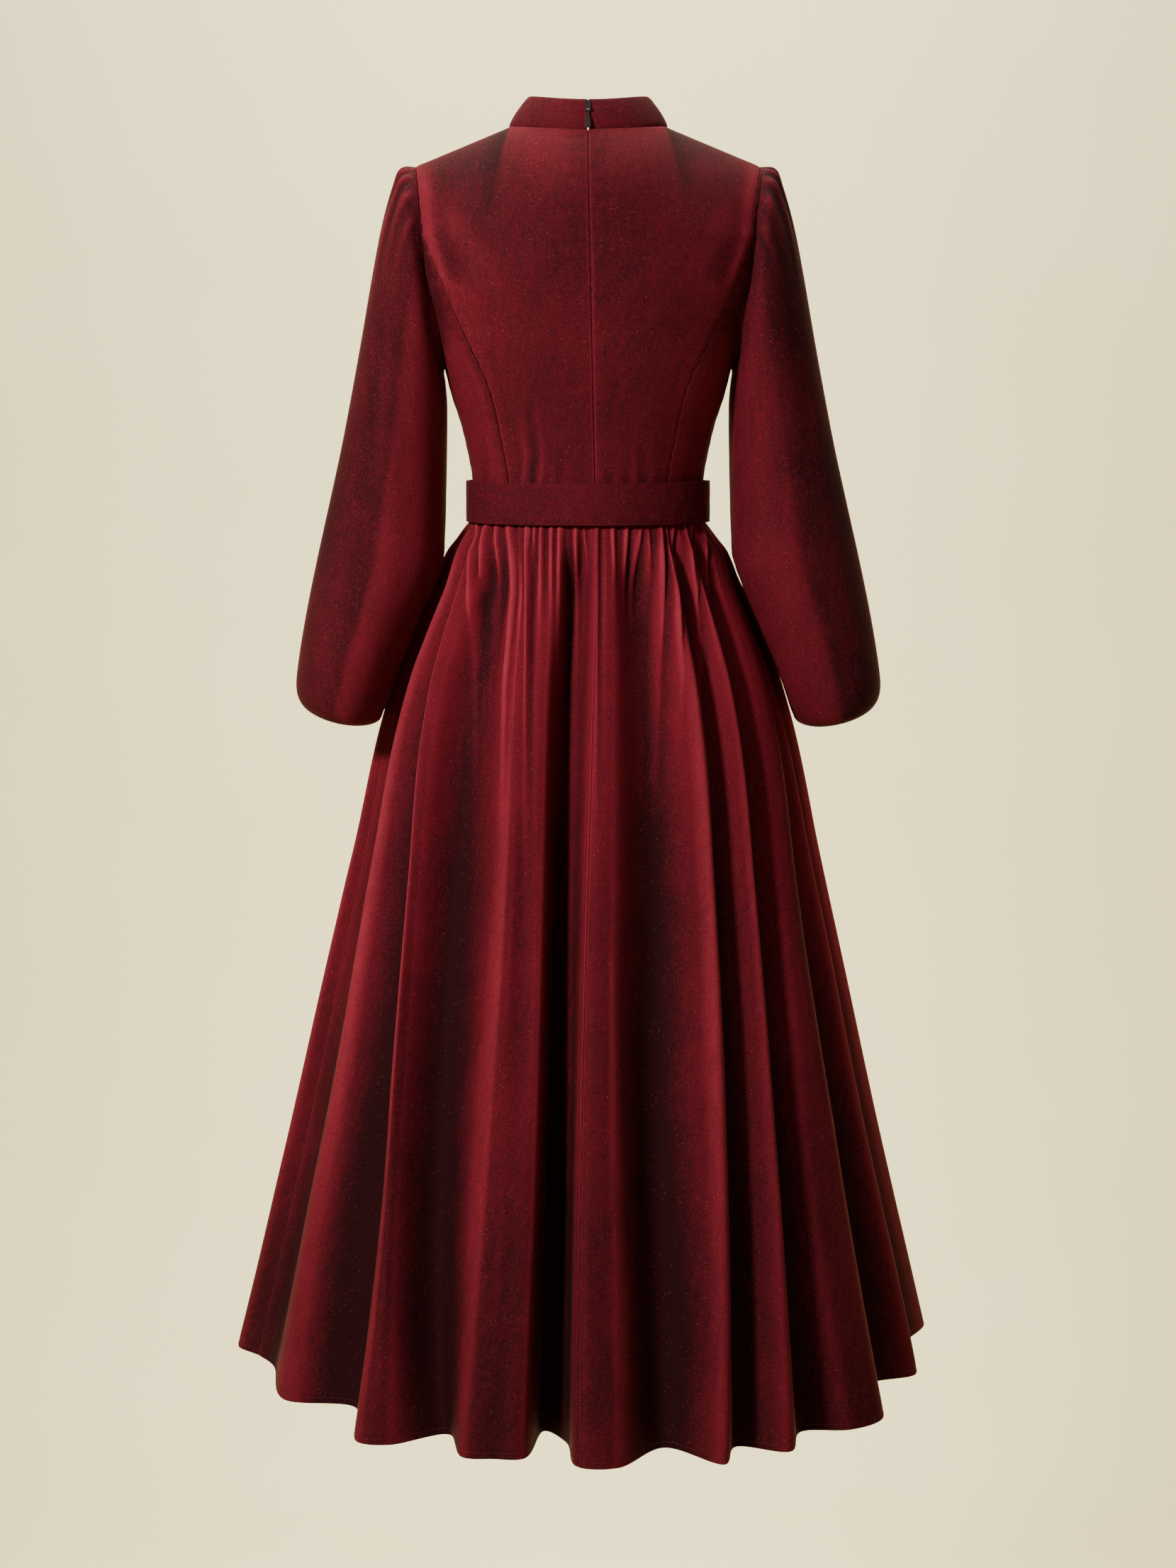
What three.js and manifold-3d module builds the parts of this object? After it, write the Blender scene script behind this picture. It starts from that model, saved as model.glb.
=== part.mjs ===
// Long-sleeved velvet midi dress with a stand collar, a belt and a gathered skirt.
// It is filled out as if worn, and hollow: every cloth piece is a thin wall with its own cut edge.
// Units are millimetres. +Z is up, +Y is the back of the dress, +X is the wearer's left.
// The origin is on the centre plane at the height of the shoulder tips, where the wearer carries it.

import * as THREE from 'three';
import { mergeVertices } from 'three/addons/utils/BufferGeometryUtils.js';
import Module from 'manifold-3d';

// Driving dimensions
const CLOTH = 1.5;              // thickness of the velvet wall
const SEAM_GAP = 0.3;           // space between two pieces where they are sewn together
const WAIST_Z = -352;           // height of the waist seam
const HEM_Z = -1308;            // height of the hem
const ARMHOLE_BOTTOM_Z = -212;  // height of the underarm point
const YOKE_Z = -77;             // height where the princess seams reach the armholes
const ARMHOLE_HALF_BACK = 54;   // armhole's reach behind the side line
const ARMHOLE_HALF_FRONT = 56;  // armhole's reach in front of the side line
const NECK_HALF_WIDTH = 84;     // neck seam, half width
const NECK_BACK = 60;           // neck seam, distance behind the centre
const NECK_FRONT = 70;          // neck seam, distance in front of the centre
const NECK_SIDE_Z = 40;         // neck seam, height at the side of the neck
const NECK_BACK_Z = 33;         // neck seam, height at the centre back
const NECK_FRONT_Z = -22;       // neck seam, height at the centre front
const COLLAR_HEIGHT = 31;       // stand collar's height
const COLLAR_LEAN = 20;         // how far the collar's top leans in at the sides
const COLLAR_OPENING = 1.8;     // space between the collar's ends at the centre back
const BELT_TOP_Z = -330;        // belt's upper edge
const BELT_HEIGHT = 44;         // belt's height
const BELT_THICKNESS = 2.4;     // doubled velvet and stiffener
const BELT_HALF_WIDTH = 131.5;  // belt's outer half width
const BELT_LAP = 24;            // degrees by which the belt laps over itself at the front
const GATHER_DEPTH = 4.2;       // depth of the small gathers under the belt
const GATHER_REACH = 75;        // distance below the waist in which they fade
const ZIP_TAPE_WIDTH = 24;
const ZIP_TAPE_THICKNESS = 0.8;
const PULL_LENGTH = 20;
const PULL_WIDTH = 5.5;
const PULL_THICKNESS = 1.2;

// Colours
const VELVET = new THREE.Color(0.235, 0.022, 0.045);
const GUNMETAL = new THREE.Color(0.07, 0.07, 0.075);
const TAPE_RED = new THREE.Color(0.16, 0.02, 0.035);

// Body sections of the bodice by height: half width, depth behind, depth in front, squareness
const TORSO = [
  { z: -352, width: 124.0, back: 92, front: 92, square: 2.1 },
  { z: -328, width: 124.5, back: 92, front: 94, square: 2.1 },
  { z: -309, width: 127.5, back: 93, front: 99, square: 2.15 },
  { z: -271, width: 136.0, back: 96, front: 110, square: 2.2 },
  { z: -240, width: 146.0, back: 100, front: 120, square: 2.3 },
  { z: -212, width: 153.0, back: 104, front: 129, square: 2.4 },
  { z: -160, width: 167.0, back: 109, front: 131, square: 2.5 },
  { z: -120, width: 179.0, back: 112, front: 122, square: 2.6 },
  { z: -77, width: 184.0, back: 110, front: 106, square: 2.6 },
  { z: -40, width: 184.0, back: 103, front: 90, square: 2.6 },
  { z: 0, width: 182.0, back: 90, front: 72, square: 2.6 },
];

// Princess seams of the back, distance from the centre line by height; the front's are the same
const PRINCESS = [
  { z: -352, out: 83 },
  { z: -326, out: 84 },
  { z: -297, out: 89 },
  { z: -234, out: 103 },
  { z: -183, out: 126 },
  { z: -147, out: 143 },
  { z: -110, out: 158 },
  { z: -77, out: 172 },
];

// Outer envelope of the skirt by height: the ridges of its folds reach this half width
const SKIRT = [
  { z: -352, width: 125.8 },
  { z: -374, width: 127.8 },
  { z: -390, width: 138.5 },
  { z: -408, width: 152.5 },
  { z: -449, width: 171.0 },
  { z: -493, width: 191.0 },
  { z: -538, width: 210.0 },
  { z: -617, width: 234.0 },
  { z: -735, width: 260.0 },
  { z: -895, width: 298.0 },
  { z: -1058, width: 336.2 },
  { z: -1223, width: 377.0 },
  { z: -1308, width: 398.0 },
];
const SKIRT_ROWS = [-352, -374, -390, -420, -480, -570, -690, -840, -1000, -1160, -1308];
const DEPTH_SHARE_WAIST = 0.74;  // depth of the skirt over its width at the waist
const DEPTH_SHARE_HEM = 0.85;    // the same at the hem
const FOLD_START = 95;           // distance below the waist over which the folds come in

// Fold lines of the skirt, in order from the left side seam over the back and round the front.
// belt and hem are angles from the centre back, positive to the wearer's left, and inset is how far
// the line lies inside the envelope at the hem: near 0 on a ridge, large in a trough.
// turn says how soon the line leaves its angle at the belt: near 1 evenly, large at once.
const FOLDS = [
  { name: 'left side seam', belt: 88, hem: 86, inset: 23, turn: 1 },
  { name: 'left side trough', belt: 83, hem: 79.8, inset: 38, turn: 1 },
  { name: 'left outer ridge', belt: 78, hem: 61.1, inset: 23, turn: 0.9 },
  { name: 'left outer trough', belt: 69, hem: 51, inset: 70, turn: 1.3 },
  { name: 'left lit ridge', belt: 60, hem: 37.3, inset: 4, turn: 1.7 },
  { name: 'left lit ridge, inner side', belt: 53.5, hem: 32.5, inset: 15, turn: 1 },
  { name: 'left deep trough', belt: 46, hem: 26.7, inset: 68, turn: 0.65 },
  { name: 'left centre ridge, edge', belt: 30.5, hem: 19.7, inset: 16, turn: 6 },
  { name: 'left centre ridge, crown', belt: 23, hem: 14.8, inset: 20, turn: 4 },
  { name: 'left centre ridge, inner edge', belt: 15, hem: 10.2, inset: 27, turn: 3 },
  { name: 'centre trough', belt: 1.5, hem: 9.2, inset: 106, turn: 7 },
  { name: 'centre trough, rise', belt: -1.2, hem: 4.1, inset: 76, turn: 6 },
  { name: 'centre back seam', belt: -4, hem: 1.6, inset: 10, turn: 2.5 },
  { name: 'right centre ridge', belt: -10, hem: -4.4, inset: 6, turn: 3.5 },
  { name: 'right soft trough', belt: -21, hem: -13.4, inset: 54, turn: 1.5 },
  { name: 'right long ridge', belt: -34, hem: -20, inset: -6, turn: 0.9 },
  { name: 'right narrow trough', belt: -41, hem: -25, inset: 34, turn: 1 },
  { name: 'right faint ridge', belt: -48, hem: -31.2, inset: -2, turn: 1 },
  { name: 'right middle trough', belt: -55, hem: -38.4, inset: 36, turn: 1.3 },
  { name: 'right broad ridge', belt: -63, hem: -45, inset: 8, turn: 1.6 },
  { name: 'right broad ridge, edge', belt: -71, hem: -52.4, inset: 4, turn: 2 },
  { name: 'right outer trough', belt: -78, hem: -67.5, inset: 60, turn: 1.5 },
  { name: 'right outer ridge', belt: -85, hem: -75.5, inset: 22, turn: 0.6 },
  { name: 'right side seam', belt: -90, hem: -89, inset: 42, turn: 1 },
  { name: 'front ridge 1', belt: -98, hem: -104, inset: -4, turn: 2.5 },
  { name: 'front trough 1', belt: -106, hem: -113, inset: 58, turn: 2.5 },
  { name: 'front ridge 2', belt: -114, hem: -121, inset: 5, turn: 2.5 },
  { name: 'front trough 2', belt: -122, hem: -130, inset: 62, turn: 2.5 },
  { name: 'front ridge 3', belt: -130, hem: -137.5, inset: 10, turn: 2.5 },
  { name: 'front ridge 3, inner side', belt: -138, hem: -144, inset: 18, turn: 2.5 },
  { name: 'front trough 3', belt: -146, hem: -151, inset: 72, turn: 2.5 },
  { name: 'front ridge 4', belt: -154, hem: -157.5, inset: 6, turn: 2.5 },
  { name: 'front trough 4', belt: -162, hem: -165, inset: 48, turn: 2.5 },
  { name: 'front ridge 5', belt: -170, hem: -172.5, inset: 2, turn: 2.5 },
  { name: 'front trough 5', belt: -178, hem: -180.5, inset: 74, turn: 2.5 },
  { name: 'front ridge 6', belt: -186, hem: -187.5, inset: 8, turn: 2.5 },
  { name: 'front trough 6', belt: -194, hem: -195, inset: 52, turn: 2.5 },
  { name: 'front ridge 7', belt: -202, hem: -202, inset: 3, turn: 2.5 },
  { name: 'front trough 7', belt: -210, hem: -210, inset: 70, turn: 2.5 },
  { name: 'front ridge 8', belt: -218, hem: -217, inset: 6, turn: 2.5 },
  { name: 'front ridge 8, inner side', belt: -226, hem: -224, inset: 20, turn: 2.5 },
  { name: 'front trough 8', belt: -234, hem: -232.5, inset: 64, turn: 2.5 },
  { name: 'front ridge 9', belt: -242, hem: -241, inset: 2, turn: 2.5 },
  { name: 'front trough 9', belt: -250, hem: -250.5, inset: 58, turn: 2.5 },
  { name: 'front ridge 10', belt: -258, hem: -260, inset: 8, turn: 2.5 },
  { name: 'left side ridge', belt: -265, hem: -269, inset: 0, turn: 2.5 },
];
const COLUMNS_PER_FOLD = 4;
const LEFT_SIDE_SEAM = 0;
const BACK_SEAM = FOLDS.findIndex((fold) => fold.name === 'centre back seam');
const RIGHT_SIDE_SEAM = FOLDS.findIndex((fold) => fold.name === 'right side seam');

// Rings of a sleeve: outer and inner point, half depth, depth of the head's gathers at that ring
const SLEEVE = [
  { outX: 182.5, outZ: 0, inX: 153.8, inZ: -212, depth: 55, gather: 0.0 },
  { outX: 195, outZ: -4, inX: 154, inZ: -215, depth: 60, gather: 3.0 },
  { outX: 205, outZ: -20, inX: 154, inZ: -219, depth: 65, gather: 4.0 },
  { outX: 213, outZ: -42, inX: 153, inZ: -225, depth: 68, gather: 3.4 },
  { outX: 221, outZ: -72, inX: 152, inZ: -234, depth: 69, gather: 2.4 },
  { outX: 230, outZ: -116, inX: 151, inZ: -248, depth: 68, gather: 1.2 },
  { outX: 241, outZ: -175, inX: 151, inZ: -270, depth: 66, gather: 0.0 },
  { outX: 252.5, outZ: -234, inX: 151.5, inZ: -300, depth: 64, gather: 0.0 },
  { outX: 265, outZ: -295, inX: 152.5, inZ: -340, depth: 64, gather: 0.0 },
  { outX: 279, outZ: -356, inX: 154, inZ: -384, depth: 67, gather: 0.0 },
  { outX: 292, outZ: -412, inX: 158, inZ: -425, depth: 71, gather: 0.0 },
  { outX: 304, outZ: -468, inX: 178, inZ: -476, depth: 75, gather: 0.0 },
  { outX: 313, outZ: -518, inX: 201, inZ: -530, depth: 78, gather: 0.0 },
  { outX: 316.5, outZ: -552, inX: 217, inZ: -574, depth: 78, gather: 0.0 },
  { outX: 310, outZ: -570, inX: 227, inZ: -589, depth: 73, gather: 0.0 },
  { outX: 296, outZ: -578, inX: 240, inZ: -592, depth: 62, gather: 0.0 },
  { outX: 289, outZ: -573, inX: 248, inZ: -586, depth: 55, gather: 0.0 },
];
const SLEEVE_HEAD_COLUMNS = 20;
const SLEEVE_UNDER_COLUMNS = 10;
const BODICE_CLEARANCE = 0.9;      // space between a sleeve and the bodice
const SKIRT_CLEARANCE = 1.2;         // space between a sleeve and the skirt
const SLEEVE_SWING = { left: 8, right: 15 };  // how far the lower sleeve hangs forward or back
const SWING_START = 240;        // depth below the shoulder where the swing begins
const SWING_FULL = 560;         // and where it is complete

// Small helpers
const rad = THREE.MathUtils.degToRad;
const deg = THREE.MathUtils.radToDeg;
const mix = THREE.MathUtils.lerp;

// A column of a table at a height, eased through its rows
function read(table, column, z) {
  const rows = table[0].z > table[table.length - 1].z ? [...table].reverse() : table;
  const last = rows.length - 1;
  if (z <= rows[0].z) {
    return rows[0][column];
  }
  if (z >= rows[last].z) {
    return rows[last][column];
  }
  const i = rows.findIndex((row) => row.z > z) - 1;
  const span = rows[i + 1].z - rows[i].z;
  const slope = (k) => {
    const low = Math.max(k - 1, 0);
    const high = Math.min(k + 1, last);
    return (rows[high][column] - rows[low][column]) / (rows[high].z - rows[low].z);
  };
  const t = (z - rows[i].z) / span;
  const h = t * t * (3 - 2 * t);
  const rise = t * (1 - t) * (1 - t) * span * slope(i);
  const fall = t * t * (1 - t) * span * slope(i + 1);
  return mix(rows[i][column], rows[i + 1][column], h) + rise - fall;
}

function smooth(low, high, value) {
  return THREE.MathUtils.smoothstep(value, low, high);
}

function evenly(low, high, steps) {
  return Array.from({ length: steps + 1 }, (_, i) => mix(low, high, i / steps));
}

// The bodice's outer surface
function torsoPoint(angle, z) {
  const width = read(TORSO, 'width', z);
  const power = 2 / read(TORSO, 'square', z);
  const s = Math.sin(rad(angle));
  const c = Math.cos(rad(angle));
  const depth = c >= 0 ? read(TORSO, 'back', z) : read(TORSO, 'front', z);
  return new THREE.Vector3(
    width * Math.sign(s) * Math.abs(s) ** power,
    depth * Math.sign(c) * Math.abs(c) ** power,
    z,
  );
}

// How far a point is outside the bodice's surface, as a share of the section
function torsoExcess(point) {
  const depth = read(TORSO, point.y >= 0 ? 'back' : 'front', point.z);
  const square = read(TORSO, 'square', point.z);
  const across = Math.abs(point.x) / read(TORSO, 'width', point.z);
  return across ** square + (Math.abs(point.y) / depth) ** square - 1;
}

// The bodice's normal. On a seam that lies in the side plane or in the centre plane it stays in
// that plane, so that both pieces' inner edges meet there.
function bodiceNormal(point, found) {
  const normal = found.clone();
  if (point.z <= YOKE_Z) {
    const step = 0.01;
    for (const axis of ['x', 'y', 'z']) {
      const ahead = point.clone();
      const behind = point.clone();
      ahead[axis] += step;
      behind[axis] -= step;
      normal[axis] = torsoExcess(ahead) - torsoExcess(behind);
    }
    normal.normalize();
  }
  if (Math.abs(point.y) < SEAM_GAP) {
    normal.y = 0;
  }
  if (Math.abs(point.x) < SEAM_GAP) {
    normal.x = 0;
  }
  return normal.normalize();
}

// Half width of the bodice's section where it is at depth y
function torsoHalfWidthAt(y, z) {
  const depth = read(TORSO, y >= 0 ? 'back' : 'front', z);
  const square = read(TORSO, 'square', z);
  const share = Math.min(Math.abs(y) / depth, 1);
  return read(TORSO, 'width', z) * (1 - share ** square) ** (1 / square);
}

// Section angle, from the centre back or the centre front, of the point at distance x
function angleOfX(x, z) {
  const share = Math.min(x / read(TORSO, 'width', z), 1);
  return deg(Math.asin(share ** (read(TORSO, 'square', z) / 2)));
}

// Turns round the armhole, 0 at the shoulder tip and 180 at the underarm
const ARMHOLE_HALF_HEIGHT = -ARMHOLE_BOTTOM_Z / 2;
const YOKE_TURN = deg(Math.acos((YOKE_Z + ARMHOLE_HALF_HEIGHT) / ARMHOLE_HALF_HEIGHT));
const SIDE_TIP_TURN = 84;   // the narrow upper end of the side panels
const SIDE_TURNS = evenly(180, SIDE_TIP_TURN, SLEEVE_UNDER_COLUMNS / 2);

// A point of the left armhole seam; turn is 0 at the shoulder tip and 180 at the underarm
function armholePoint(turn, face) {
  const reach = face > 0 ? ARMHOLE_HALF_BACK : ARMHOLE_HALF_FRONT;
  const y = face * reach * Math.sin(rad(turn));
  const z = ARMHOLE_HALF_HEIGHT * (Math.cos(rad(turn)) - 1);
  return new THREE.Vector3(torsoHalfWidthAt(y, z), y, z);
}

// Section angle of a princess seam, which ends on the armhole
function princessAngle(z, face) {
  const out = z < YOKE_Z ? read(PRINCESS, 'out', z) : armholePoint(YOKE_TURN, face).x;
  return angleOfX(out, z);
}

// A point of the neck seam; turn is 0 at the centre back, 90 at the side and 180 at the front
function neckPoint(turn) {
  const s = Math.sin(rad(turn));
  const c = Math.cos(rad(turn));
  const depth = c > 0 ? NECK_BACK : NECK_FRONT;
  const lowest = c > 0 ? NECK_BACK_Z : NECK_FRONT_Z;
  return new THREE.Vector3(NECK_HALF_WIDTH * s, depth * c, mix(NECK_SIDE_Z, lowest, c * c));
}

// Walls
// The inner skin of a grid of outer points, rows[j][i]. facing is 1 where a row's way crossed with
// the way from row to row points out of the garment, and -1 where it points in. refine, where it is
// given, turns a normal found from the grid into a better one.
function innerPoints(rows, round, facing, refine) {
  const count = rows[0].length;
  return rows.map((row, j) => row.map((point, i) => {
    const above = rows[Math.min(j + 1, rows.length - 1)][i];
    const below = rows[Math.max(j - 1, 0)][i];
    const next = round ? row[(i + 1) % count] : row[Math.min(i + 1, count - 1)];
    const previous = round ? row[(i + count - 1) % count] : row[Math.max(i - 1, 0)];
    const along = new THREE.Vector3().subVectors(above, below);
    const across = new THREE.Vector3().subVectors(next, previous);
    const normal = new THREE.Vector3().crossVectors(across, along).normalize();
    normal.multiplyScalar(facing);
    const chosen = refine ? refine(point, normal) : normal;
    return new THREE.Vector3().copy(point).addScaledVector(chosen, -CLOTH);
  }));
}

// Both skins and the rims, as an indexed geometry that faces outwards
function wallGeometry(outer, inner, round) {
  const rows = outer.length;
  const columns = outer[0].length;
  const positions = [];
  for (const skin of [outer, inner]) {
    for (const row of skin) {
      for (const point of row) {
        positions.push(point.x, point.y, point.z);
      }
    }
  }
  const at = (skin, j, i) => skin * rows * columns + j * columns + (i % columns);
  const faces = [];
  const quad = (a, b, c, d) => faces.push(a, b, c, a, c, d);
  const spans = round ? columns : columns - 1;
  for (let i = 0; i < spans; i += 1) {
    for (let j = 0; j < rows - 1; j += 1) {
      quad(at(0, j, i), at(0, j, i + 1), at(0, j + 1, i + 1), at(0, j + 1, i));
      quad(at(1, j, i), at(1, j + 1, i), at(1, j + 1, i + 1), at(1, j, i + 1));
    }
    quad(at(1, 0, i), at(1, 0, i + 1), at(0, 0, i + 1), at(0, 0, i));
    quad(at(0, rows - 1, i), at(0, rows - 1, i + 1), at(1, rows - 1, i + 1), at(1, rows - 1, i));
  }
  if (!round) {
    const end = columns - 1;
    for (let j = 0; j < rows - 1; j += 1) {
      quad(at(1, j, 0), at(0, j, 0), at(0, j + 1, 0), at(1, j + 1, 0));
      quad(at(0, j, end), at(1, j, end), at(1, j + 1, end), at(0, j + 1, end));
    }
  }
  return facingOut(positions, faces);
}

function facingOut(positions, faces) {
  let volume = 0;
  const corner = (index) => new THREE.Vector3().fromArray(positions, index * 3);
  for (let k = 0; k < faces.length; k += 3) {
    const [a, b, c] = [corner(faces[k]), corner(faces[k + 1]), corner(faces[k + 2])];
    volume += a.dot(b.cross(c));
  }
  if (volume < 0) {
    for (let k = 0; k < faces.length; k += 3) {
      [faces[k + 1], faces[k + 2]] = [faces[k + 2], faces[k + 1]];
    }
  }
  const geometry = new THREE.BufferGeometry();
  geometry.setAttribute('position', new THREE.Float32BufferAttribute(positions, 3));
  geometry.setIndex(faces);
  geometry.computeVertexNormals();
  return geometry;
}

// Moves the first and last column of a piece away from its seams by half the seam gap
function openSeams(rows) {
  const shift = (row, edge, neighbour) => {
    const way = new THREE.Vector3().subVectors(row[neighbour], row[edge]).normalize();
    row[edge] = row[edge].clone().addScaledVector(way, SEAM_GAP / 2);
  };
  for (const row of rows) {
    shift(row, 0, 1);
    shift(row, row.length - 1, row.length - 2);
  }
}

function mirrored(rows) {
  return rows.map((row) => row.map((point) => new THREE.Vector3(-point.x, point.y, point.z)).reverse());
}

const velvet = new THREE.MeshStandardMaterial({ color: VELVET, roughness: 0.9, metalness: 0 });
const metal = new THREE.MeshStandardMaterial({ color: GUNMETAL, roughness: 0.35, metalness: 1 });
const tape = new THREE.MeshStandardMaterial({ color: TAPE_RED, roughness: 0.8, metalness: 0 });
const dress = new THREE.Group();

function add(name, geometry, material) {
  const mesh = new THREE.Mesh(geometry, material);
  mesh.name = name;
  dress.add(mesh);
  return mesh;
}

function addPanel(name, rows, face) {
  const inner = innerPoints(rows, false, -face, bodiceNormal);
  openSeams(rows);
  openSeams(inner);
  add(name, wallGeometry(rows, inner, false), velvet);
}

// Bodice
const PANEL_COLUMNS = 8;
const NECK_COLUMNS = 5;        // of them, the ones whose upper ends lie on the neck seam
const WAIST_EDGE_Z = WAIST_Z + SEAM_GAP;
const LOWER_ROWS = [WAIST_EDGE_Z, -330, -300, -262, -224];   // below the underarm
const UPPER_ROWS = [-190, -168, -144, -118, -96, YOKE_Z];    // beside the armhole
const YOKE_STEPS = 5;
const BACK_SEAM_LEAN = 7.6;    // at the waist
const SIDE_COLUMNS = 4;
const YOKE_BULGE = { back: [104, -8], front: [97, -45] };  // depth and height of the line's bend

// The upper part of a centre panel, from the chest line up to the shoulder and neck seams
function yokeRow(face, v) {
  const columns = PANEL_COLUMNS;
  const turn = (u) => (face > 0 ? u : 180 - u);
  const edgeAngle = princessAngle(YOKE_Z, face);
  const low = (u) => torsoPoint(turn(u * edgeAngle), YOKE_Z);
  const shoulderTip = armholePoint(0, face);
  const neckSide = neckPoint(90);
  const neckShare = NECK_COLUMNS / PANEL_COLUMNS;
  const high = (u) => {
    if (u <= neckShare) {
      return neckPoint(turn((u / neckShare) * 90));
    }
    return neckSide.clone().lerp(shoulderTip, (u - neckShare) / (1 - neckShare));
  };
  const [bendY, bendZ] = face > 0 ? YOKE_BULGE.back : YOKE_BULGE.front;
  const bend = new THREE.Vector3(0, face * bendY, bendZ);
  const centreLine = new THREE.QuadraticBezierCurve3(low(0), bend, high(0)).getPoint(v);
  const edge = armholePoint(YOKE_TURN * (1 - v), face);
  return evenly(0, 1, columns).map((u) => {
    const ruled = low(u).lerp(high(u), v);
    const sides = centreLine.clone().lerp(edge, u);
    const corners = low(0).lerp(high(0), v).lerp(low(1).lerp(high(1), v), u);
    return ruled.add(sides).sub(corners);
  });
}

// A centre panel of the left half, from the centre line to the princess seam
function centrePanel(face) {
  const rows = [...LOWER_ROWS, ...UPPER_ROWS].map((z) => {
    const edge = princessAngle(z, face);
    return evenly(0, edge, PANEL_COLUMNS).map((a) => torsoPoint(face > 0 ? a : 180 - a, z));
  });
  for (const v of evenly(0, 1, YOKE_STEPS).slice(1)) {
    rows.push(yokeRow(face, v));
  }
  return rows;
}

// The centre back seam leans to the wearer's right on its way down to the waist
function leanSeam(rows, seamIsLast) {
  for (const row of rows) {
    row.forEach((point, k) => {
      const away = (seamIsLast ? row.length - 1 - k : k) / (row.length - 1);
      point.x -= BACK_SEAM_LEAN * (1 - away) * Math.max(0, point.z / WAIST_Z);
    });
  }
}

// A side panel of the left half, from the princess seam to the side seam and the armhole
function sidePanel(face) {
  const turn = (a) => (face > 0 ? a : 180 - a);
  const lower = LOWER_ROWS.map((z) => (
    evenly(princessAngle(z, face), 90, SIDE_COLUMNS).map((a) => torsoPoint(turn(a), z))
  ));
  const upper = UPPER_ROWS.map((seamZ, k) => {
    const hole = armholePoint(SIDE_TURNS[k], face);
    const heights = evenly(seamZ, hole.z, SIDE_COLUMNS);
    const angles = evenly(princessAngle(seamZ, face), angleOfX(hole.x, hole.z), SIDE_COLUMNS);
    return angles.map((a, i) => torsoPoint(turn(a), heights[i]));
  });
  return [...lower, ...upper];
}

// Front and back stop half a seam gap short of the shoulder seam and of the side seam
function easeShoulder(rows, face) {
  const top = rows[rows.length - 1];
  for (const point of top) {
    point.y += (face * SEAM_GAP) / 2;
  }
}

const backLeft = centrePanel(1);
easeShoulder(backLeft, 1);
const backRight = mirrored(backLeft);
leanSeam(backLeft, false);
leanSeam(backRight, true);
addPanel('centre_back_left', backLeft, 1);
addPanel('centre_back_right', backRight, 1);

const frontHalf = centrePanel(-1);
easeShoulder(frontHalf, -1);
const frontRows = mirrored(frontHalf).map((row, j) => [...row, ...frontHalf[j].slice(1)]);
addPanel('centre_front', frontRows, -1);

for (const [name, face] of [['side_back', 1], ['side_front', -1]]) {
  addPanel(`${name}_left`, sidePanel(face), face);
  addPanel(`${name}_right`, mirrored(sidePanel(face)), face);
}

// Collar
const COLLAR_COLUMNS = 4 * NECK_COLUMNS;
const COLLAR_TOP_SHARE = 1 - COLLAR_LEAN / NECK_HALF_WIDTH;
function collarPoint(turn, rise) {
  const foot = neckPoint(Math.abs(turn));
  const bow = 1 - (1 - COLLAR_TOP_SHARE) * rise ** 1.35;
  const side = Math.sign(turn);
  const lift = SEAM_GAP * 1.5 + rise * COLLAR_HEIGHT;
  return new THREE.Vector3(side * foot.x * bow, foot.y * (bow + 0.06 * rise), foot.z + lift);
}

const openingTurn = deg(COLLAR_OPENING / 2 / NECK_HALF_WIDTH);
const collarTurns = evenly(0, 360, COLLAR_COLUMNS);
const collarRows = [0, 0.35, 0.72, 1].map((rise) => collarTurns.map((even) => {
  const end = openingTurn / (1 - 0.3 * rise);
  const turn = THREE.MathUtils.clamp(even, end, 360 - end);
  return collarPoint(turn <= 180 ? turn : turn - 360, rise);
}));
add('collar', wallGeometry(collarRows, innerPoints(collarRows, false, -1), false), velvet);

// Sleeves
function skirtHalfWidthAt(y, z) {
  const width = read(SKIRT, 'width', z);
  const share = Math.min(Math.abs(y) / skirtDepth(z), 1);
  return width * Math.sqrt(1 - share * share);
}

function skirtDepth(z) {
  const fall = (WAIST_Z - z) / (WAIST_Z - HEM_Z);
  return read(SKIRT, 'width', z) * mix(DEPTH_SHARE_WAIST, DEPTH_SHARE_HEM, fall);
}

const sleeveTurns = [
  ...evenly(-YOKE_TURN, YOKE_TURN, SLEEVE_HEAD_COLUMNS),
  ...evenly(SIDE_TIP_TURN, 360 - SIDE_TIP_TURN, SLEEVE_UNDER_COLUMNS),
];

// A point of the left sleeve; turn is 0 on the outer line and 180 on the inner one
function sleevePoint(ring, turn, column, swing) {
  const c = Math.cos(rad(turn));
  const s = Math.sin(rad(turn));
  const inHead = column <= SLEEVE_HEAD_COLUMNS;
  const hollow = inHead && column % 2 === 1 ? ring.gather : 0;
  const reach = 1 - hollow / ring.depth;
  const hang = smooth(SWING_START, SWING_FULL, -(ring.outZ + ring.inZ) / 2);
  const x = mix(ring.outX, ring.inX, (1 - c * reach) / 2);
  const z = mix(ring.outZ, ring.inZ, (1 - c * reach) / 2);
  const y = ring.depth * s * reach + swing * hang;
  const beside = z < WAIST_Z - 20
    ? skirtHalfWidthAt(y, z) + SKIRT_CLEARANCE
    : torsoHalfWidthAt(y, z) + BODICE_CLEARANCE;
  return new THREE.Vector3(z < YOKE_Z ? Math.max(x, beside) : x, y, z);
}

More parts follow.
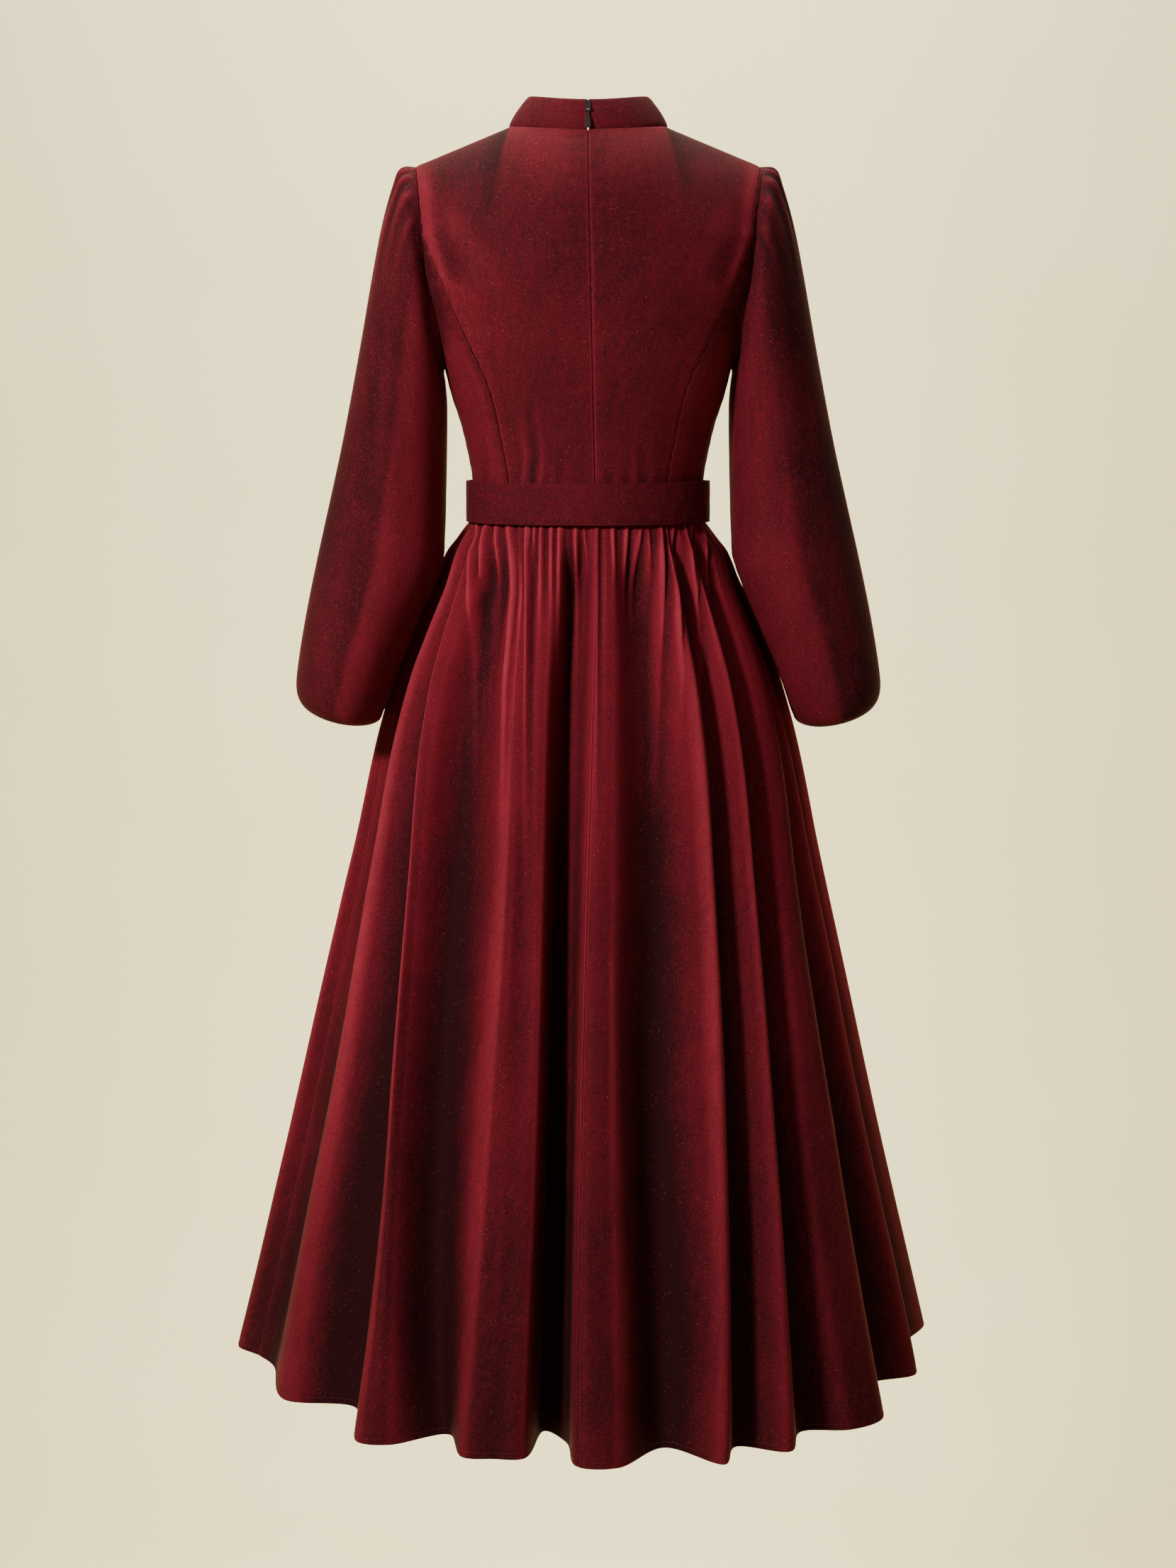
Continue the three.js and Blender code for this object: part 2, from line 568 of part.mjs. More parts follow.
// The first ring follows the armhole's edge, a little outside it
function armholeRing(column) {
  const onEdge = (turn) => armholePoint(turn <= 180 ? Math.abs(turn) : 360 - turn,
    turn >= 0 && turn <= 180 ? 1 : -1);
  const point = onEdge(sleeveTurns[column]);
  if (column < SLEEVE_HEAD_COLUMNS && column % 2 === 1) {
    point.copy(onEdge(sleeveTurns[column - 1])).lerp(onEdge(sleeveTurns[column + 1]), 0.5);
  }
  return point.add(new THREE.Vector3(2.5 * SEAM_GAP, 0, 0));
}

function sleeveRows(swing) {
  return SLEEVE.map((ring, k) => sleeveTurns.map((turn, column) => (
    k === 0 ? armholeRing(column) : sleevePoint(ring, turn, column, swing)
  )));
}

const leftSleeve = sleeveRows(SLEEVE_SWING.left);
const rightSleeve = mirrored(sleeveRows(SLEEVE_SWING.right));
add('sleeve_left', wallGeometry(leftSleeve, innerPoints(leftSleeve, true, -1), true), velvet);
add('sleeve_right', wallGeometry(rightSleeve, innerPoints(rightSleeve, true, -1), true), velvet);

// Skirt
// A closed curve through the fold lines at one height, with the gathers pressed into it
function skirtRow(z) {
  const fall = (WAIST_Z - z) / (WAIST_Z - HEM_Z);
  const drop = WAIST_Z - z;
  const width = read(SKIRT, 'width', z);
  const depth = skirtDepth(z);
  const comeIn = smooth(10, FOLD_START, drop);
  const hemSize = read(SKIRT, 'width', HEM_Z) * (1 + DEPTH_SHARE_HEM) / 2;
  const points = FOLDS.map((fold) => {
    const angle = rad(mix(fold.hem, fold.belt, (1 - fall) ** fold.turn));
    const size = 1 - (fold.inset / hemSize) * comeIn;
    return new THREE.Vector3(width * Math.sin(angle) * size, depth * Math.cos(angle) * size, z);
  });
  const curve = new THREE.CatmullRomCurve3(points, true, 'centripetal');
  const total = FOLDS.length * COLUMNS_PER_FOLD;
  const gather = GATHER_DEPTH * (0.45 + 0.55 * smooth(0, 30, drop)) * Math.exp(-drop / GATHER_REACH);
  return Array.from({ length: total }, (_, i) => {
    const point = curve.getPoint(i / total);
    const wave = 0.5 - 0.5 * Math.cos((2 * Math.PI * i) / COLUMNS_PER_FOLD);
    const size = 1 - (gather * wave) / Math.hypot(point.x, point.y);
    return new THREE.Vector3(point.x * size, point.y * size, z);
  });
}

function addSkirtPiece(name, outer, inner, from, to) {
  const count = outer[0].length;
  const first = from * COLUMNS_PER_FOLD;
  const last = to * COLUMNS_PER_FOLD;
  const cut = (rows) => rows.map((row) => (
    Array.from({ length: last - first + 1 }, (_, i) => row[(first + i) % count].clone())
  ));
  const piece = cut(outer);
  const lining = cut(inner);
  openSeams(piece);
  openSeams(lining);
  add(name, wallGeometry(piece, lining, false), velvet);
}

const skirtOuter = SKIRT_ROWS.map(skirtRow);
const skirtInner = innerPoints(skirtOuter, true, -1);
addSkirtPiece('skirt_back_left', skirtOuter, skirtInner, LEFT_SIDE_SEAM, BACK_SEAM);
addSkirtPiece('skirt_back_right', skirtOuter, skirtInner, BACK_SEAM, RIGHT_SIDE_SEAM);
addSkirtPiece('skirt_front', skirtOuter, skirtInner, RIGHT_SIDE_SEAM, FOLDS.length);

// Belt
// One strip round the waist; its outer end lies over its inner end at the centre front
const BELT_COLUMNS = 50;
const BELT_DEPTH = BELT_HALF_WIDTH * 0.755;
const BELT_CROWN = 0.5;         // how far the middle of the strip stands out
const BELT_START = 180 - BELT_LAP / 2;
const BELT_END = -180 - 1.5 * BELT_LAP;
const BELT_LIFT_START = 110;    // from here the outer end climbs to lie over the inner end
const BELT_LIFT_FULL = 180 - BELT_LAP * 0.8;
const beltInner = [];
const beltOuter = [0, 0.5, 1].map((rise) => {
  const row = [];
  const under = [];
  for (const turn of evenly(BELT_START, BELT_END, BELT_COLUMNS)) {
    const lifted = smooth(BELT_LIFT_START, BELT_LIFT_FULL, -turn);
    const crown = BELT_CROWN * Math.sin(Math.PI * rise);
    const out = (BELT_THICKNESS + BELT_CROWN + SEAM_GAP) * lifted + crown;
    const z = BELT_TOP_Z - BELT_HEIGHT * (1 - rise);
    const place = (extra) => new THREE.Vector3(
      (BELT_HALF_WIDTH + extra) * Math.sin(rad(turn)),
      (BELT_DEPTH + extra) * Math.cos(rad(turn)),
      z,
    );
    row.push(place(out));
    under.push(place(out - BELT_THICKNESS - crown));
  }
  beltInner.push(under);
  return row;
});
add('belt', wallGeometry(beltOuter, beltInner, false), velvet);

// Zip tape, a strip against the inside of the centre back seam from the waist to the neck
const tapeRows = [];
const tapeInner = [];
const tapeLine = backLeft.map((row) => row[0]).slice(1);
for (let k = 0; k < tapeLine.length; k += 1) {
  const here = tapeLine[k];
  const below = tapeLine[Math.max(k - 1, 0)];
  const above = tapeLine[Math.min(k + 1, tapeLine.length - 1)];
  const slope = new THREE.Vector3().subVectors(above, below).normalize();
  const outward = new THREE.Vector3(0, slope.z, -slope.y);
  const middle = here.x - SEAM_GAP / 2;
  const place = (x, depth) => (
    new THREE.Vector3(middle + x, here.y, here.z).addScaledVector(outward, -depth)
  );
  const outerDepth = CLOTH + 0.9;
  const half = ZIP_TAPE_WIDTH / 2;
  tapeRows.push([-half, 0, half].map((x) => place(x, outerDepth)));
  tapeInner.push([-half, 0, half].map((x) => place(x, outerDepth + ZIP_TAPE_THICKNESS)));
}
add('zip_tape', wallGeometry(tapeRows, tapeInner, false), tape);

// Solids from boxes and cylinders, joined and cut
const wasm = await Module();
wasm.setup();

function solid(geometry) {
  const bare = geometry.clone();
  bare.deleteAttribute('normal');
  bare.deleteAttribute('uv');
  const merged = mergeVertices(bare, 1e-5);
  return new wasm.Manifold(new wasm.Mesh({
    numProp: 3,
    vertProperties: new Float32Array(merged.attributes.position.array),
    triVerts: new Uint32Array(merged.index.array),
  }));
}

function geometryOf(body) {
  const mesh = body.getMesh();
  const geometry = new THREE.BufferGeometry();
  geometry.setAttribute('position', new THREE.BufferAttribute(new Float32Array(mesh.vertProperties), 3));
  geometry.setIndex([...mesh.triVerts]);
  geometry.computeVertexNormals();
  return geometry;
}

function box(width, depth, height, x, y, z) {
  return solid(new THREE.BoxGeometry(width, depth, height).translate(x, y, z));
}

// A cylinder along X
function rod(radius, length, y, z, sides) {
  const geometry = new THREE.CylinderGeometry(radius, radius, length, sides);
  return solid(geometry.rotateZ(Math.PI / 2).translate(0, y, z));
}

// Zip slider and pull: +Y of this group points out of the collar, and z = 0 is the hinge's height
const HINGE_Z = 50.5;
const HINGE_OUT = 2.4;      // hinge axis to the collar's outer face
const PIN_RADIUS = 0.6;
const EYE_HOLE = 0.95;
const EYE_RADIUS = 1.75;
const EAR_GAP = 1.75;       // half the space between the slider's ears
const EAR = 0.9;
const BODY_HEIGHT = 13;
const hingeRise = (HINGE_Z - NECK_BACK_Z) / COLLAR_HEIGHT;
const collarFoot = collarPoint(0.01, hingeRise);
const collarHead = collarPoint(0.01, 1);
const collarWay = new THREE.Vector3().subVectors(collarHead, collarFoot).normalize();
const collarTilt = Math.atan2(-collarWay.y, collarWay.z);
const collarFace = collarPoint(0.01, hingeRise);

const zipGroup = new THREE.Group();
zipGroup.position.set(0, collarFace.y, collarFace.z);
zipGroup.rotation.x = collarTilt;
dress.add(zipGroup);

const bridge = box(2 * (EAR_GAP + EAR), 1.5, BODY_HEIGHT - 3, 0, 1.15, 7.6)
  .add(box(EAR, 3.6, 4.6, EAR_GAP + EAR / 2, 2.1, 1.2))
  .add(box(EAR, 3.6, 4.6, -EAR_GAP - EAR / 2, 2.1, 1.2))
  .add(rod(PIN_RADIUS, 2 * EAR_GAP + EAR, HINGE_OUT, 0, 14))
  .add(box(1.0, 3.6, BODY_HEIGHT - 5, 0, -1.0, 7.4))
  .add(box(6.4, 1.6, BODY_HEIGHT - 3, 0, -3.1, 6.6));
const slider = new THREE.Mesh(geometryOf(bridge), metal);
slider.name = 'zip_slider';
zipGroup.add(slider);

// The drop-shaped tab hangs from an eye round the slider's pin
const dropOutline = new THREE.Shape();
const tipRadius = PULL_WIDTH / 2;
const eyeHalf = 0.8;
dropOutline.moveTo(-eyeHalf, -1.2);
dropOutline.lineTo(-tipRadius, -PULL_LENGTH + tipRadius);
dropOutline.absarc(0, -PULL_LENGTH + tipRadius, tipRadius, Math.PI, 2 * Math.PI, false);
dropOutline.lineTo(eyeHalf, -1.2);
dropOutline.closePath();
const plate = new THREE.ExtrudeGeometry(dropOutline, {
  depth: PULL_THICKNESS, bevelEnabled: false, curveSegments: 10,
});
plate.rotateX(Math.PI / 2).translate(0, HINGE_OUT + PULL_THICKNESS / 2, 0);
const pullBody = solid(plate)
  .add(rod(EYE_RADIUS, 2 * EAR_GAP - 0.5, HINGE_OUT, 0, 20))
  .subtract(rod(EYE_HOLE, 4 * EAR_GAP, HINGE_OUT, 0, 16));
const pull = new THREE.Mesh(geometryOf(pullBody), metal);
pull.name = 'zip_pull';
zipGroup.add(pull);

export default dress;
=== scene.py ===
# %% [markdown]
# # A burgundy velvet midi dress, seen from the back
# The dress is filled out as if someone wore it, but it is hollow. Every piece that a maker would
# cut is one thin sheet here: bodice panels, collar, sleeves, skirt panels and belt. Each sheet is
# worked out from body sections and a table of fold lines, because velvet folds are long, few and
# regular enough to name one by one. That gives more control than a cloth simulation.

# %% Load the frame
import bpy
import numpy as np
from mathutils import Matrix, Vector


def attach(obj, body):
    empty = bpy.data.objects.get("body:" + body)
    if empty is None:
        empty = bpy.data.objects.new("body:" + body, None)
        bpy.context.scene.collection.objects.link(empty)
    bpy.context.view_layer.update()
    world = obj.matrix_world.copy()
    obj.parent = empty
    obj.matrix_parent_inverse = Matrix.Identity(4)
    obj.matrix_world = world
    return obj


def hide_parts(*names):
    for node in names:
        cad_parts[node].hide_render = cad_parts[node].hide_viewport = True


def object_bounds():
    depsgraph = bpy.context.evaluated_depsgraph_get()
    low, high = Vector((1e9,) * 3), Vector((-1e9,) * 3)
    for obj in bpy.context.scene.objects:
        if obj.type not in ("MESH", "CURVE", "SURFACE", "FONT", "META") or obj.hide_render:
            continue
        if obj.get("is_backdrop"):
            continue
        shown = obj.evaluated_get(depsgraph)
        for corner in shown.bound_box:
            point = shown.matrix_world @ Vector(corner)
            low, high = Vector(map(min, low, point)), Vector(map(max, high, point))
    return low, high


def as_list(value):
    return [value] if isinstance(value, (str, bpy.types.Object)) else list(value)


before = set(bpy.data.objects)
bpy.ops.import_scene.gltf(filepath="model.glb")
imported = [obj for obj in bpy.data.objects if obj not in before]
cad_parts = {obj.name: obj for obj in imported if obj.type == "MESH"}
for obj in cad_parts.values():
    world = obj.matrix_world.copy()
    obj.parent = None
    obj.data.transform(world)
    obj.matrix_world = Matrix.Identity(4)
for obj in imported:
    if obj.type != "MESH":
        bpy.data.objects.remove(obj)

cad_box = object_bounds()
BODY = "dress"
MM = 0.001
print("CAD box", [[round(float(value), 3) for value in corner] for corner in cad_box])

# %% [markdown]
# ## Camera, floor and light
# The photograph looks at the back from chest height, a little down, from about 2.8 m. A small
# softbox stands high on the camera's left, a weak one fills in from its right, and two weak ones
# edge the sides from the front. The floor lies far below and runs up into a backdrop, so that
# no shadow falls where the photograph has none. The world is dim as a light, but the camera
# sees it as bright as the backdrop, whose back is see-through for views from the front.

# %% Camera
CAMERA_DISTANCE = 2.8
CAMERA_HEIGHT = -0.235
CAMERA_TILT = 8.65
LENS = 59.29


def stand(name, data):
    """A new object at the origin of the scene."""
    body = bpy.data.objects.new(name, data)
    bpy.context.scene.collection.objects.link(body)
    return body


camera = stand("camera", bpy.data.cameras.new("camera"))
camera.location = (0, CAMERA_DISTANCE, CAMERA_HEIGHT)
camera.rotation_euler = (np.radians(90 - CAMERA_TILT), 0, np.radians(180))
camera.data.lens = LENS
bpy.context.scene.camera = camera
print("camera at", tuple(round(value, 3) for value in camera.location))


# %% Lights
def soft_light(name, place, aim, size, power, colour):
    lamp = bpy.data.lights.new(name, "AREA")
    lamp.shape = "DISK"
    lamp.size = size
    lamp.energy = power
    lamp.color = colour
    body = stand(name, lamp)
    body.location = place
    body.rotation_euler = (Vector(aim) - Vector(place)).to_track_quat("-Z", "Y").to_euler()
    body.visible_camera = False


WAIST = (0, 0, -0.45)
EDGE_COLOUR = (1.0, 0.96, 0.92)
PAPER_COLOUR = (1.0, 0.94, 0.79)
soft_light("key", (1.55, 1.85, 0.7), WAIST, 0.4, 84, (1.0, 0.97, 0.93))
soft_light("front_fill", (-0.9, 3.0, 0.9), WAIST, 1.4, 8, (1.0, 0.97, 0.94))
soft_light("edge_left", (2.2, -0.9, 0.4), WAIST, 0.8, 3, EDGE_COLOUR)
soft_light("edge_right", (-2.2, -0.9, 0.4), WAIST, 0.8, 3, EDGE_COLOUR)
soft_light("backdrop_high", (0, -0.9, 1.6), (0, -2.6, -0.4), 2.4, 142, PAPER_COLOUR)
soft_light("backdrop_low", (0, -0.6, -1.5), (0, -2.5, -1.9), 2.2, 66, PAPER_COLOUR)

# %% World
WORLD_COLOUR = (0.95, 0.91, 0.78, 1)
WORLD_LIGHT = 0.14
WORLD_EXTRA_FOR_CAMERA = 0.62
world = bpy.data.worlds.new("studio")
world.use_nodes = True
nodes, links = world.node_tree.nodes, world.node_tree.links
nodes["Background"].inputs["Color"].default_value = WORLD_COLOUR
strength = nodes.new("ShaderNodeMath")
strength.operation = "MULTIPLY_ADD"
strength.inputs[1].default_value = WORLD_EXTRA_FOR_CAMERA
strength.inputs[2].default_value = WORLD_LIGHT
links.new(nodes.new("ShaderNodeLightPath").outputs["Is Camera Ray"], strength.inputs[0])
links.new(strength.outputs[0], nodes["Background"].inputs["Strength"])
bpy.context.scene.world = world
print("world", world.name)

# %% Floor and backdrop
FLOOR = -2.3
WALL = -2.6
WALL_TOP = 3.2
BEND = 1.0
REACH = 6.0


def sweep():
    profile = [(REACH, FLOOR), (WALL + BEND, FLOOR)]
    for turn in np.radians(np.linspace(8, 82, 12)):
        profile.append((WALL + BEND - BEND * np.sin(turn), FLOOR + BEND - BEND * np.cos(turn)))
    profile += [(WALL, FLOOR + BEND), (WALL, WALL_TOP)]
    points = [(x, y, z) for y, z in profile for x in (-REACH, REACH)]
    faces = [(2 * k, 2 * k + 2, 2 * k + 3, 2 * k + 1) for k in range(len(profile) - 1)]
    mesh = bpy.data.meshes.new("backdrop")
    mesh.from_pydata(points, [], faces)
    mesh.polygons.foreach_set("use_smooth", [True] * len(faces))
    return stand("backdrop", mesh)


backdrop = sweep()
backdrop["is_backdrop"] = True
print("floor at", FLOOR)

# %% [markdown]
# ## A small kit for shader maths
# A material is a graph of nodes. Written out one by one it is hard to read, so a socket is
# wrapped in a class that understands +, - and *. Every other node comes from one method,
# which takes the node's type, its settings, and then the values or links of its sockets.


# %% Sockets as numbers
class Socket:
    def __init__(self, finish, socket):
        self.finish = finish
        self.socket = socket

    def math(self, operation, first, second):
        return self.finish.add("Math", {"operation": operation}, {0: first, 1: second})["Value"]

    def __add__(self, other):
        return self.math("ADD", self, other)

    __radd__ = __add__

    def __sub__(self, other):
        return self.math("SUBTRACT", self, other)

    def __rsub__(self, other):
        return self.math("SUBTRACT", other, self)

    def __mul__(self, other):
        return self.math("MULTIPLY", self, other)

    def clamped(self, low, high):
        return self.math("MINIMUM", self.math("MAXIMUM", self, low), high)

    def above(self, limit):
        return self.math("GREATER_THAN", self, limit)


class Finish:
    def __init__(self, name):
        self.material = bpy.data.materials.new(name)
        self.material.use_nodes = True
        self.tree = self.material.node_tree
        self.shader = self.tree.nodes["Principled BSDF"]
        self.place = self.add("TexCoord")["Object"]

    def add(self, kind, settings=None, inputs=None):
        node = self.tree.nodes.new("ShaderNode" + kind)
        for name, value in (settings or {}).items():
            setattr(node, name, value)
        for key, value in (inputs or {}).items():
            self.join(value, node.inputs[key])
        return {socket.name: Socket(self, socket) for socket in node.outputs if socket.enabled}

    def join(self, value, socket):
        if isinstance(value, Socket):
            self.tree.links.new(value.socket, socket)
        else:
            socket.default_value = value

    def set(self, **values):
        """Sets the shader's sockets, and hands the material back."""
        for name, value in values.items():
            self.join(value, self.shader.inputs[name.replace("_", " ")])
        return self.material

    def blend(self, share, first, second):
        mix = self.add("Mix", {"data_type": "RGBA"}, {0: share, 6: first, 7: second})
        return mix["Result"]

    def noise(self, scale, detail, rough, place=None):
        inputs = {"Vector": place or self.place, "Scale": scale, "Detail": detail,
                  "Roughness": rough}
        return self.add("TexNoise", {}, inputs)["Fac"]

    def bump(self, height, strength, distance):
        inputs = {"Height": height, "Strength": strength, "Distance": distance}
        return self.add("Bump", {}, inputs)["Normal"]


print("shader kit ready")

# %% [markdown]
# ## Velvet
# Velvet is a field of short upright fibres. Looked at from above it swallows light and is nearly
# black-red. Looked at along the surface, at the rim of a fold, the fibre sides catch the light
# and it glows pink. The shader's sheen layer does that. The base colour carries the pile's own
# streaks along the cloth where it has been stroked, a slow drift in tone, fine grain and a few
# specks of lint, and on top of them painted light and shade. Two point attributes steer that:
# ridge paints proud cloth and seam edges lighter and troughs darker, and gives high ridges a
# lighter red that is partly rubbed pile and partly a painted highlight. The other paints whole
# pieces darker, most of all the bodice's sides and the sleeves. On the skirt it paints darker
# towards the hem and in the deep folds, and lighter under the belt and on the gathers.

# %% Velvet finish
PILE_DEEP = (0.022, 0.0015, 0.0031, 1)
PILE_RED = (0.185, 0.0085, 0.0200, 1)
# Lighter red on proud ridges: partly rubbed pile, partly a painted highlight.
PILE_RUBBED_AND_HIGHLIT = (0.36, 0.034, 0.056, 1)
LINT = (0.42, 0.13, 0.15, 1)
SHEEN_TINT = (1.0, 0.25, 0.30, 1)
ALONG_THE_CLOTH = (1, 0.22, 1)
STREAK, DRIFT, GRAIN, COARSE = (120, 3, 0.6), (7, 3, 0.55), (1500, 2, 0.6), (420, 2, 0.5)
# Where the ridge value starts to paint that lighter red, and how fast it grows.
RUBBED_HIGHLIGHT_FROM, RUBBED_HIGHLIGHT_GAIN = 0.64, 3.0
LINT_SCALE, LINT_RADIUS, LINT_PATCHES, LINT_STRENGTH = 240.0, 0.118, 0.52, 0.35
PILE_HEIGHT = 0.0009


def velvet_finish():
    finish = Finish("velvet")
    cloth = finish.add("UVMap", {"uv_map": "cloth"})["UV"]
    along = finish.add("VectorMath", {"operation": "MULTIPLY"}, {0: cloth, 1: ALONG_THE_CLOTH})
    ridge = finish.add("Attribute", {"attribute_name": "ridge"})["Fac"]
    # The second attribute is painted light and shade, added to the tone.
    nap = finish.add("Attribute", {"attribute_name": "nap"})["Fac"]
    streak = finish.noise(*STREAK, along["Vector"])
    drift = finish.noise(*DRIFT)
    grain = finish.noise(*GRAIN)
    coarse = finish.noise(*COARSE)
    # Tone: the pile's own streaks, drift and grain, plus painted light and shade from both
    # attributes.
    tone = 0.50 + (streak - 0.5) * 0.4 + (drift - 0.5) * 0.6 + (grain - 0.5) * 1.1
    tone = (tone + (coarse - 0.5) * 0.8 + (ridge - 0.5) * 0.8 + nap).clamped(0, 1)
    pile = finish.blend(tone, PILE_DEEP, PILE_RED)
    # Lighter red on high ridges, partly rubbed pile and partly a painted highlight, held back where
    # the painted shade is deep.
    rubbed_highlight = ((ridge - RUBBED_HIGHLIGHT_FROM) * RUBBED_HIGHLIGHT_GAIN).clamped(0, 1) * (coarse * 0.6 + streak * 0.6)
    rubbed_highlight = rubbed_highlight * (nap * 2.4 + 0.9).clamped(0, 1)
    pile = finish.blend(rubbed_highlight.clamped(0, 1), pile, PILE_RUBBED_AND_HIGHLIT)
    specks = {"Vector": finish.place, "Scale": LINT_SCALE}
    cells = finish.add("TexVoronoi", {"feature": "F1"}, specks)
    near = (LINT_RADIUS - cells["Distance"]).above(0.0)
    chosen = finish.noise(60, 1, 0.5).above(LINT_PATCHES)
    pile = finish.blend(near * chosen * LINT_STRENGTH, pile, LINT)
    lift = grain * 0.5 + coarse * 0.35 + streak * 0.5
    return finish.set(
        Base_Color=pile, Roughness=0.84 + (streak - 0.5) * 0.14, Specular_IOR_Level=0.12,
        Sheen_Weight=0.34, Sheen_Roughness=0.13, Sheen_Tint=SHEEN_TINT,
        Normal=finish.bump(lift, 0.28, PILE_HEIGHT))


velvet = velvet_finish()
print("velvet", len(velvet.node_tree.nodes), "nodes")

# %% [markdown]
# ## Thread, zip tape and zip metal
# The thread is a dark red filament, a little glossier than the pile. The tape behind the zip is
# a tight plain weave. The slider and its tab are gunmetal: dark plated zinc with fine scratches
# and a cloudy polish. The backdrop's paper is see-through from behind.

# %% Small finishes
THREAD_COLOURS = (0.050, 0.003, 0.008, 1), (0.14, 0.010, 0.022, 1)
TAPE_COLOURS = (0.060, 0.004, 0.010, 1), (0.13, 0.010, 0.022, 1)
METAL_COLOURS = (0.035, 0.035, 0.040, 1), (0.16, 0.155, 0.16, 1)
PAPER_COLOURS = (0.86, 0.77, 0.46, 1), (0.91, 0.83, 0.53, 1)
WEAVE = 9000.0


def thread_finish():
    finish = Finish("thread")
    twist = finish.noise(2600, 2, 0.5)
    return finish.set(
        Base_Color=finish.blend(twist, *THREAD_COLOURS), Roughness=0.5 + twist * 0.2,
        Specular_IOR_Level=0.3, Normal=finish.bump(twist, 0.4, 0.0002))


def tape_finish():
    finish = Finish("zip_tape")
    parts = finish.add("SeparateXYZ", {}, {"Vector": finish.place})
    across = finish.add("Math", {"operation": "SINE"}, {0: parts["X"] * WEAVE})["Value"]
    upright = finish.add("Math", {"operation": "SINE"}, {0: parts["Z"] * WEAVE})["Value"]
    weave = across * upright * 0.5 + 0.5
    return finish.set(
        Base_Color=finish.blend(weave, *TAPE_COLOURS), Roughness=0.8 - weave * 0.1,
        Specular_IOR_Level=0.2, Normal=finish.bump(weave, 0.5, 0.0002))


def gunmetal_finish():
    finish = Finish("gunmetal")
    scuffs = finish.noise(900, 4, 0.65)
    cloud = finish.noise(160, 2, 0.5)
    return finish.set(
        Base_Color=finish.blend(scuffs, *METAL_COLOURS), Metallic=1.0,
        Roughness=0.26 + cloud * 0.22, Normal=finish.bump(scuffs, 0.15, 0.0001))


def paper_finish():
    finish = Finish("studio_paper")
    mottle = finish.noise(3, 3, 0.5)
    finish.set(Base_Color=finish.blend(mottle, *PAPER_COLOURS), Roughness=0.95,
               Specular_IOR_Level=0.1)
    paper = Socket(finish, finish.shader.outputs["BSDF"])
    behind = finish.add("NewGeometry")["Backfacing"]
    clear = finish.add("BsdfTransparent")["BSDF"]
    mixed = finish.add("MixShader", {}, {0: behind, 1: paper, 2: clear})["Shader"]
    finish.join(mixed, finish.tree.nodes["Material Output"].inputs["Surface"])
    return finish.material


thread = thread_finish()
tape = tape_finish()
gunmetal = gunmetal_finish()
backdrop.data.materials.append(paper_finish())
print("finishes", [m.name for m in bpy.data.materials])

# %% [markdown]
# ## Sizes of the body and the skirt
# A garment is drafted from a few measurements at known heights. These tables hold half widths
# and depths in millimetres, with z counted from the shoulder tips, and the fold lines of the
# skirt. A smooth curve is read through each column, so that a few rows describe a whole side.

# %% Tables
CLOTH = 1.5
SEAM_GAP = 0.3
WAIST_Z = -352.0
HEM_Z = -1308.0
ARMHOLE_BOTTOM_Z = -212.0
YOKE_Z = -77.0
NECK = {"width": 84, "back": 60, "front": 70, "side_z": 40, "back_z": 33, "front_z": -22}
ARMHOLE_REACH = {1: 54, -1: 56}
BACK_SEAM_LEAN = 7.6
TORSO = [dict(zip(("z", "width", "back", "front", "square"), row)) for row in (
    (-352, 124, 92, 92, 2.1), (-328, 124.5, 92, 94, 2.1), (-309, 127.5, 93, 99, 2.15),
    (-271, 136, 96, 110, 2.2), (-240, 146, 100, 120, 2.3), (-212, 153, 104, 129, 2.4),
    (-160, 167, 109, 131, 2.5), (-120, 179, 112, 122, 2.6), (-77, 184, 110, 106, 2.6),
    (-40, 184, 103, 90, 2.6), (0, 182, 90, 72, 2.6))]
PRINCESS = [dict(z=z, out=out) for z, out in (
    (-352, 83), (-326, 84), (-297, 89), (-234, 103), (-183, 126), (-147, 143), (-110, 158),
    (-77, 172))]
SKIRT = [dict(z=z, width=width) for z, width in (
    (-352, 125.8), (-374, 127.8), (-390, 138.5), (-408, 152.5), (-449, 171), (-493, 191),
    (-538, 210), (-617, 234), (-735, 260), (-895, 298), (-1058, 336.2), (-1223, 377),
    (-1308, 398))]


def read(table, column, z):
    """A column of a table at the heights z, along a smooth curve through its rows."""
    rows = sorted(table, key=lambda row: row["z"])
    keys, values = (np.array([row[name] for row in rows], float) for name in ("z", column))
    z = np.clip(z, keys[0], keys[-1])
    rises, runs = (np.pad(array, 1, "edge") for array in (values, keys))
    slopes = (rises[2:] - rises[:-2]) / (runs[2:] - runs[:-2])
    i = np.clip(np.searchsorted(keys, z, side="right") - 1, 0, len(keys) - 2)
    span = keys[i + 1] - keys[i]
    t = (z - keys[i]) / span
    ease = t * t * (3 - 2 * t)
    rise = t * (1 - t) ** 2 * span * slopes[i]
    fall = t * t * (1 - t) * span * slopes[i + 1]
    return values[i] + (values[i + 1] - values[i]) * ease + rise - fall


def smooth(low, high, value):
    t = np.clip((np.asarray(value, float) - low) / (high - low), 0, 1)
    return t * t * (3 - 2 * t)


def bell(distance, width):
    """1 at distance 0, and nearly 0 two widths away."""
    return np.exp(-(distance / width) ** 2)


def sin_cos(degrees):
    angle = np.radians(degrees)
    return np.sin(angle), np.cos(angle)


print("half width at the waist", round(float(read(TORSO, "width", WAIST_Z)), 1), "mm")

# %% [markdown]
# ## The bodice's surface
# One surface runs under all the bodice panels, so that neighbours meet along their seams. Below
# the chest line it is a stack of rounded sections. Above it, each half is a patch stretched
# between four lines: the chest section, the centre line, the armhole, and the neck and shoulder
# seams. The seams are cut into it afterwards, as they are into cloth.


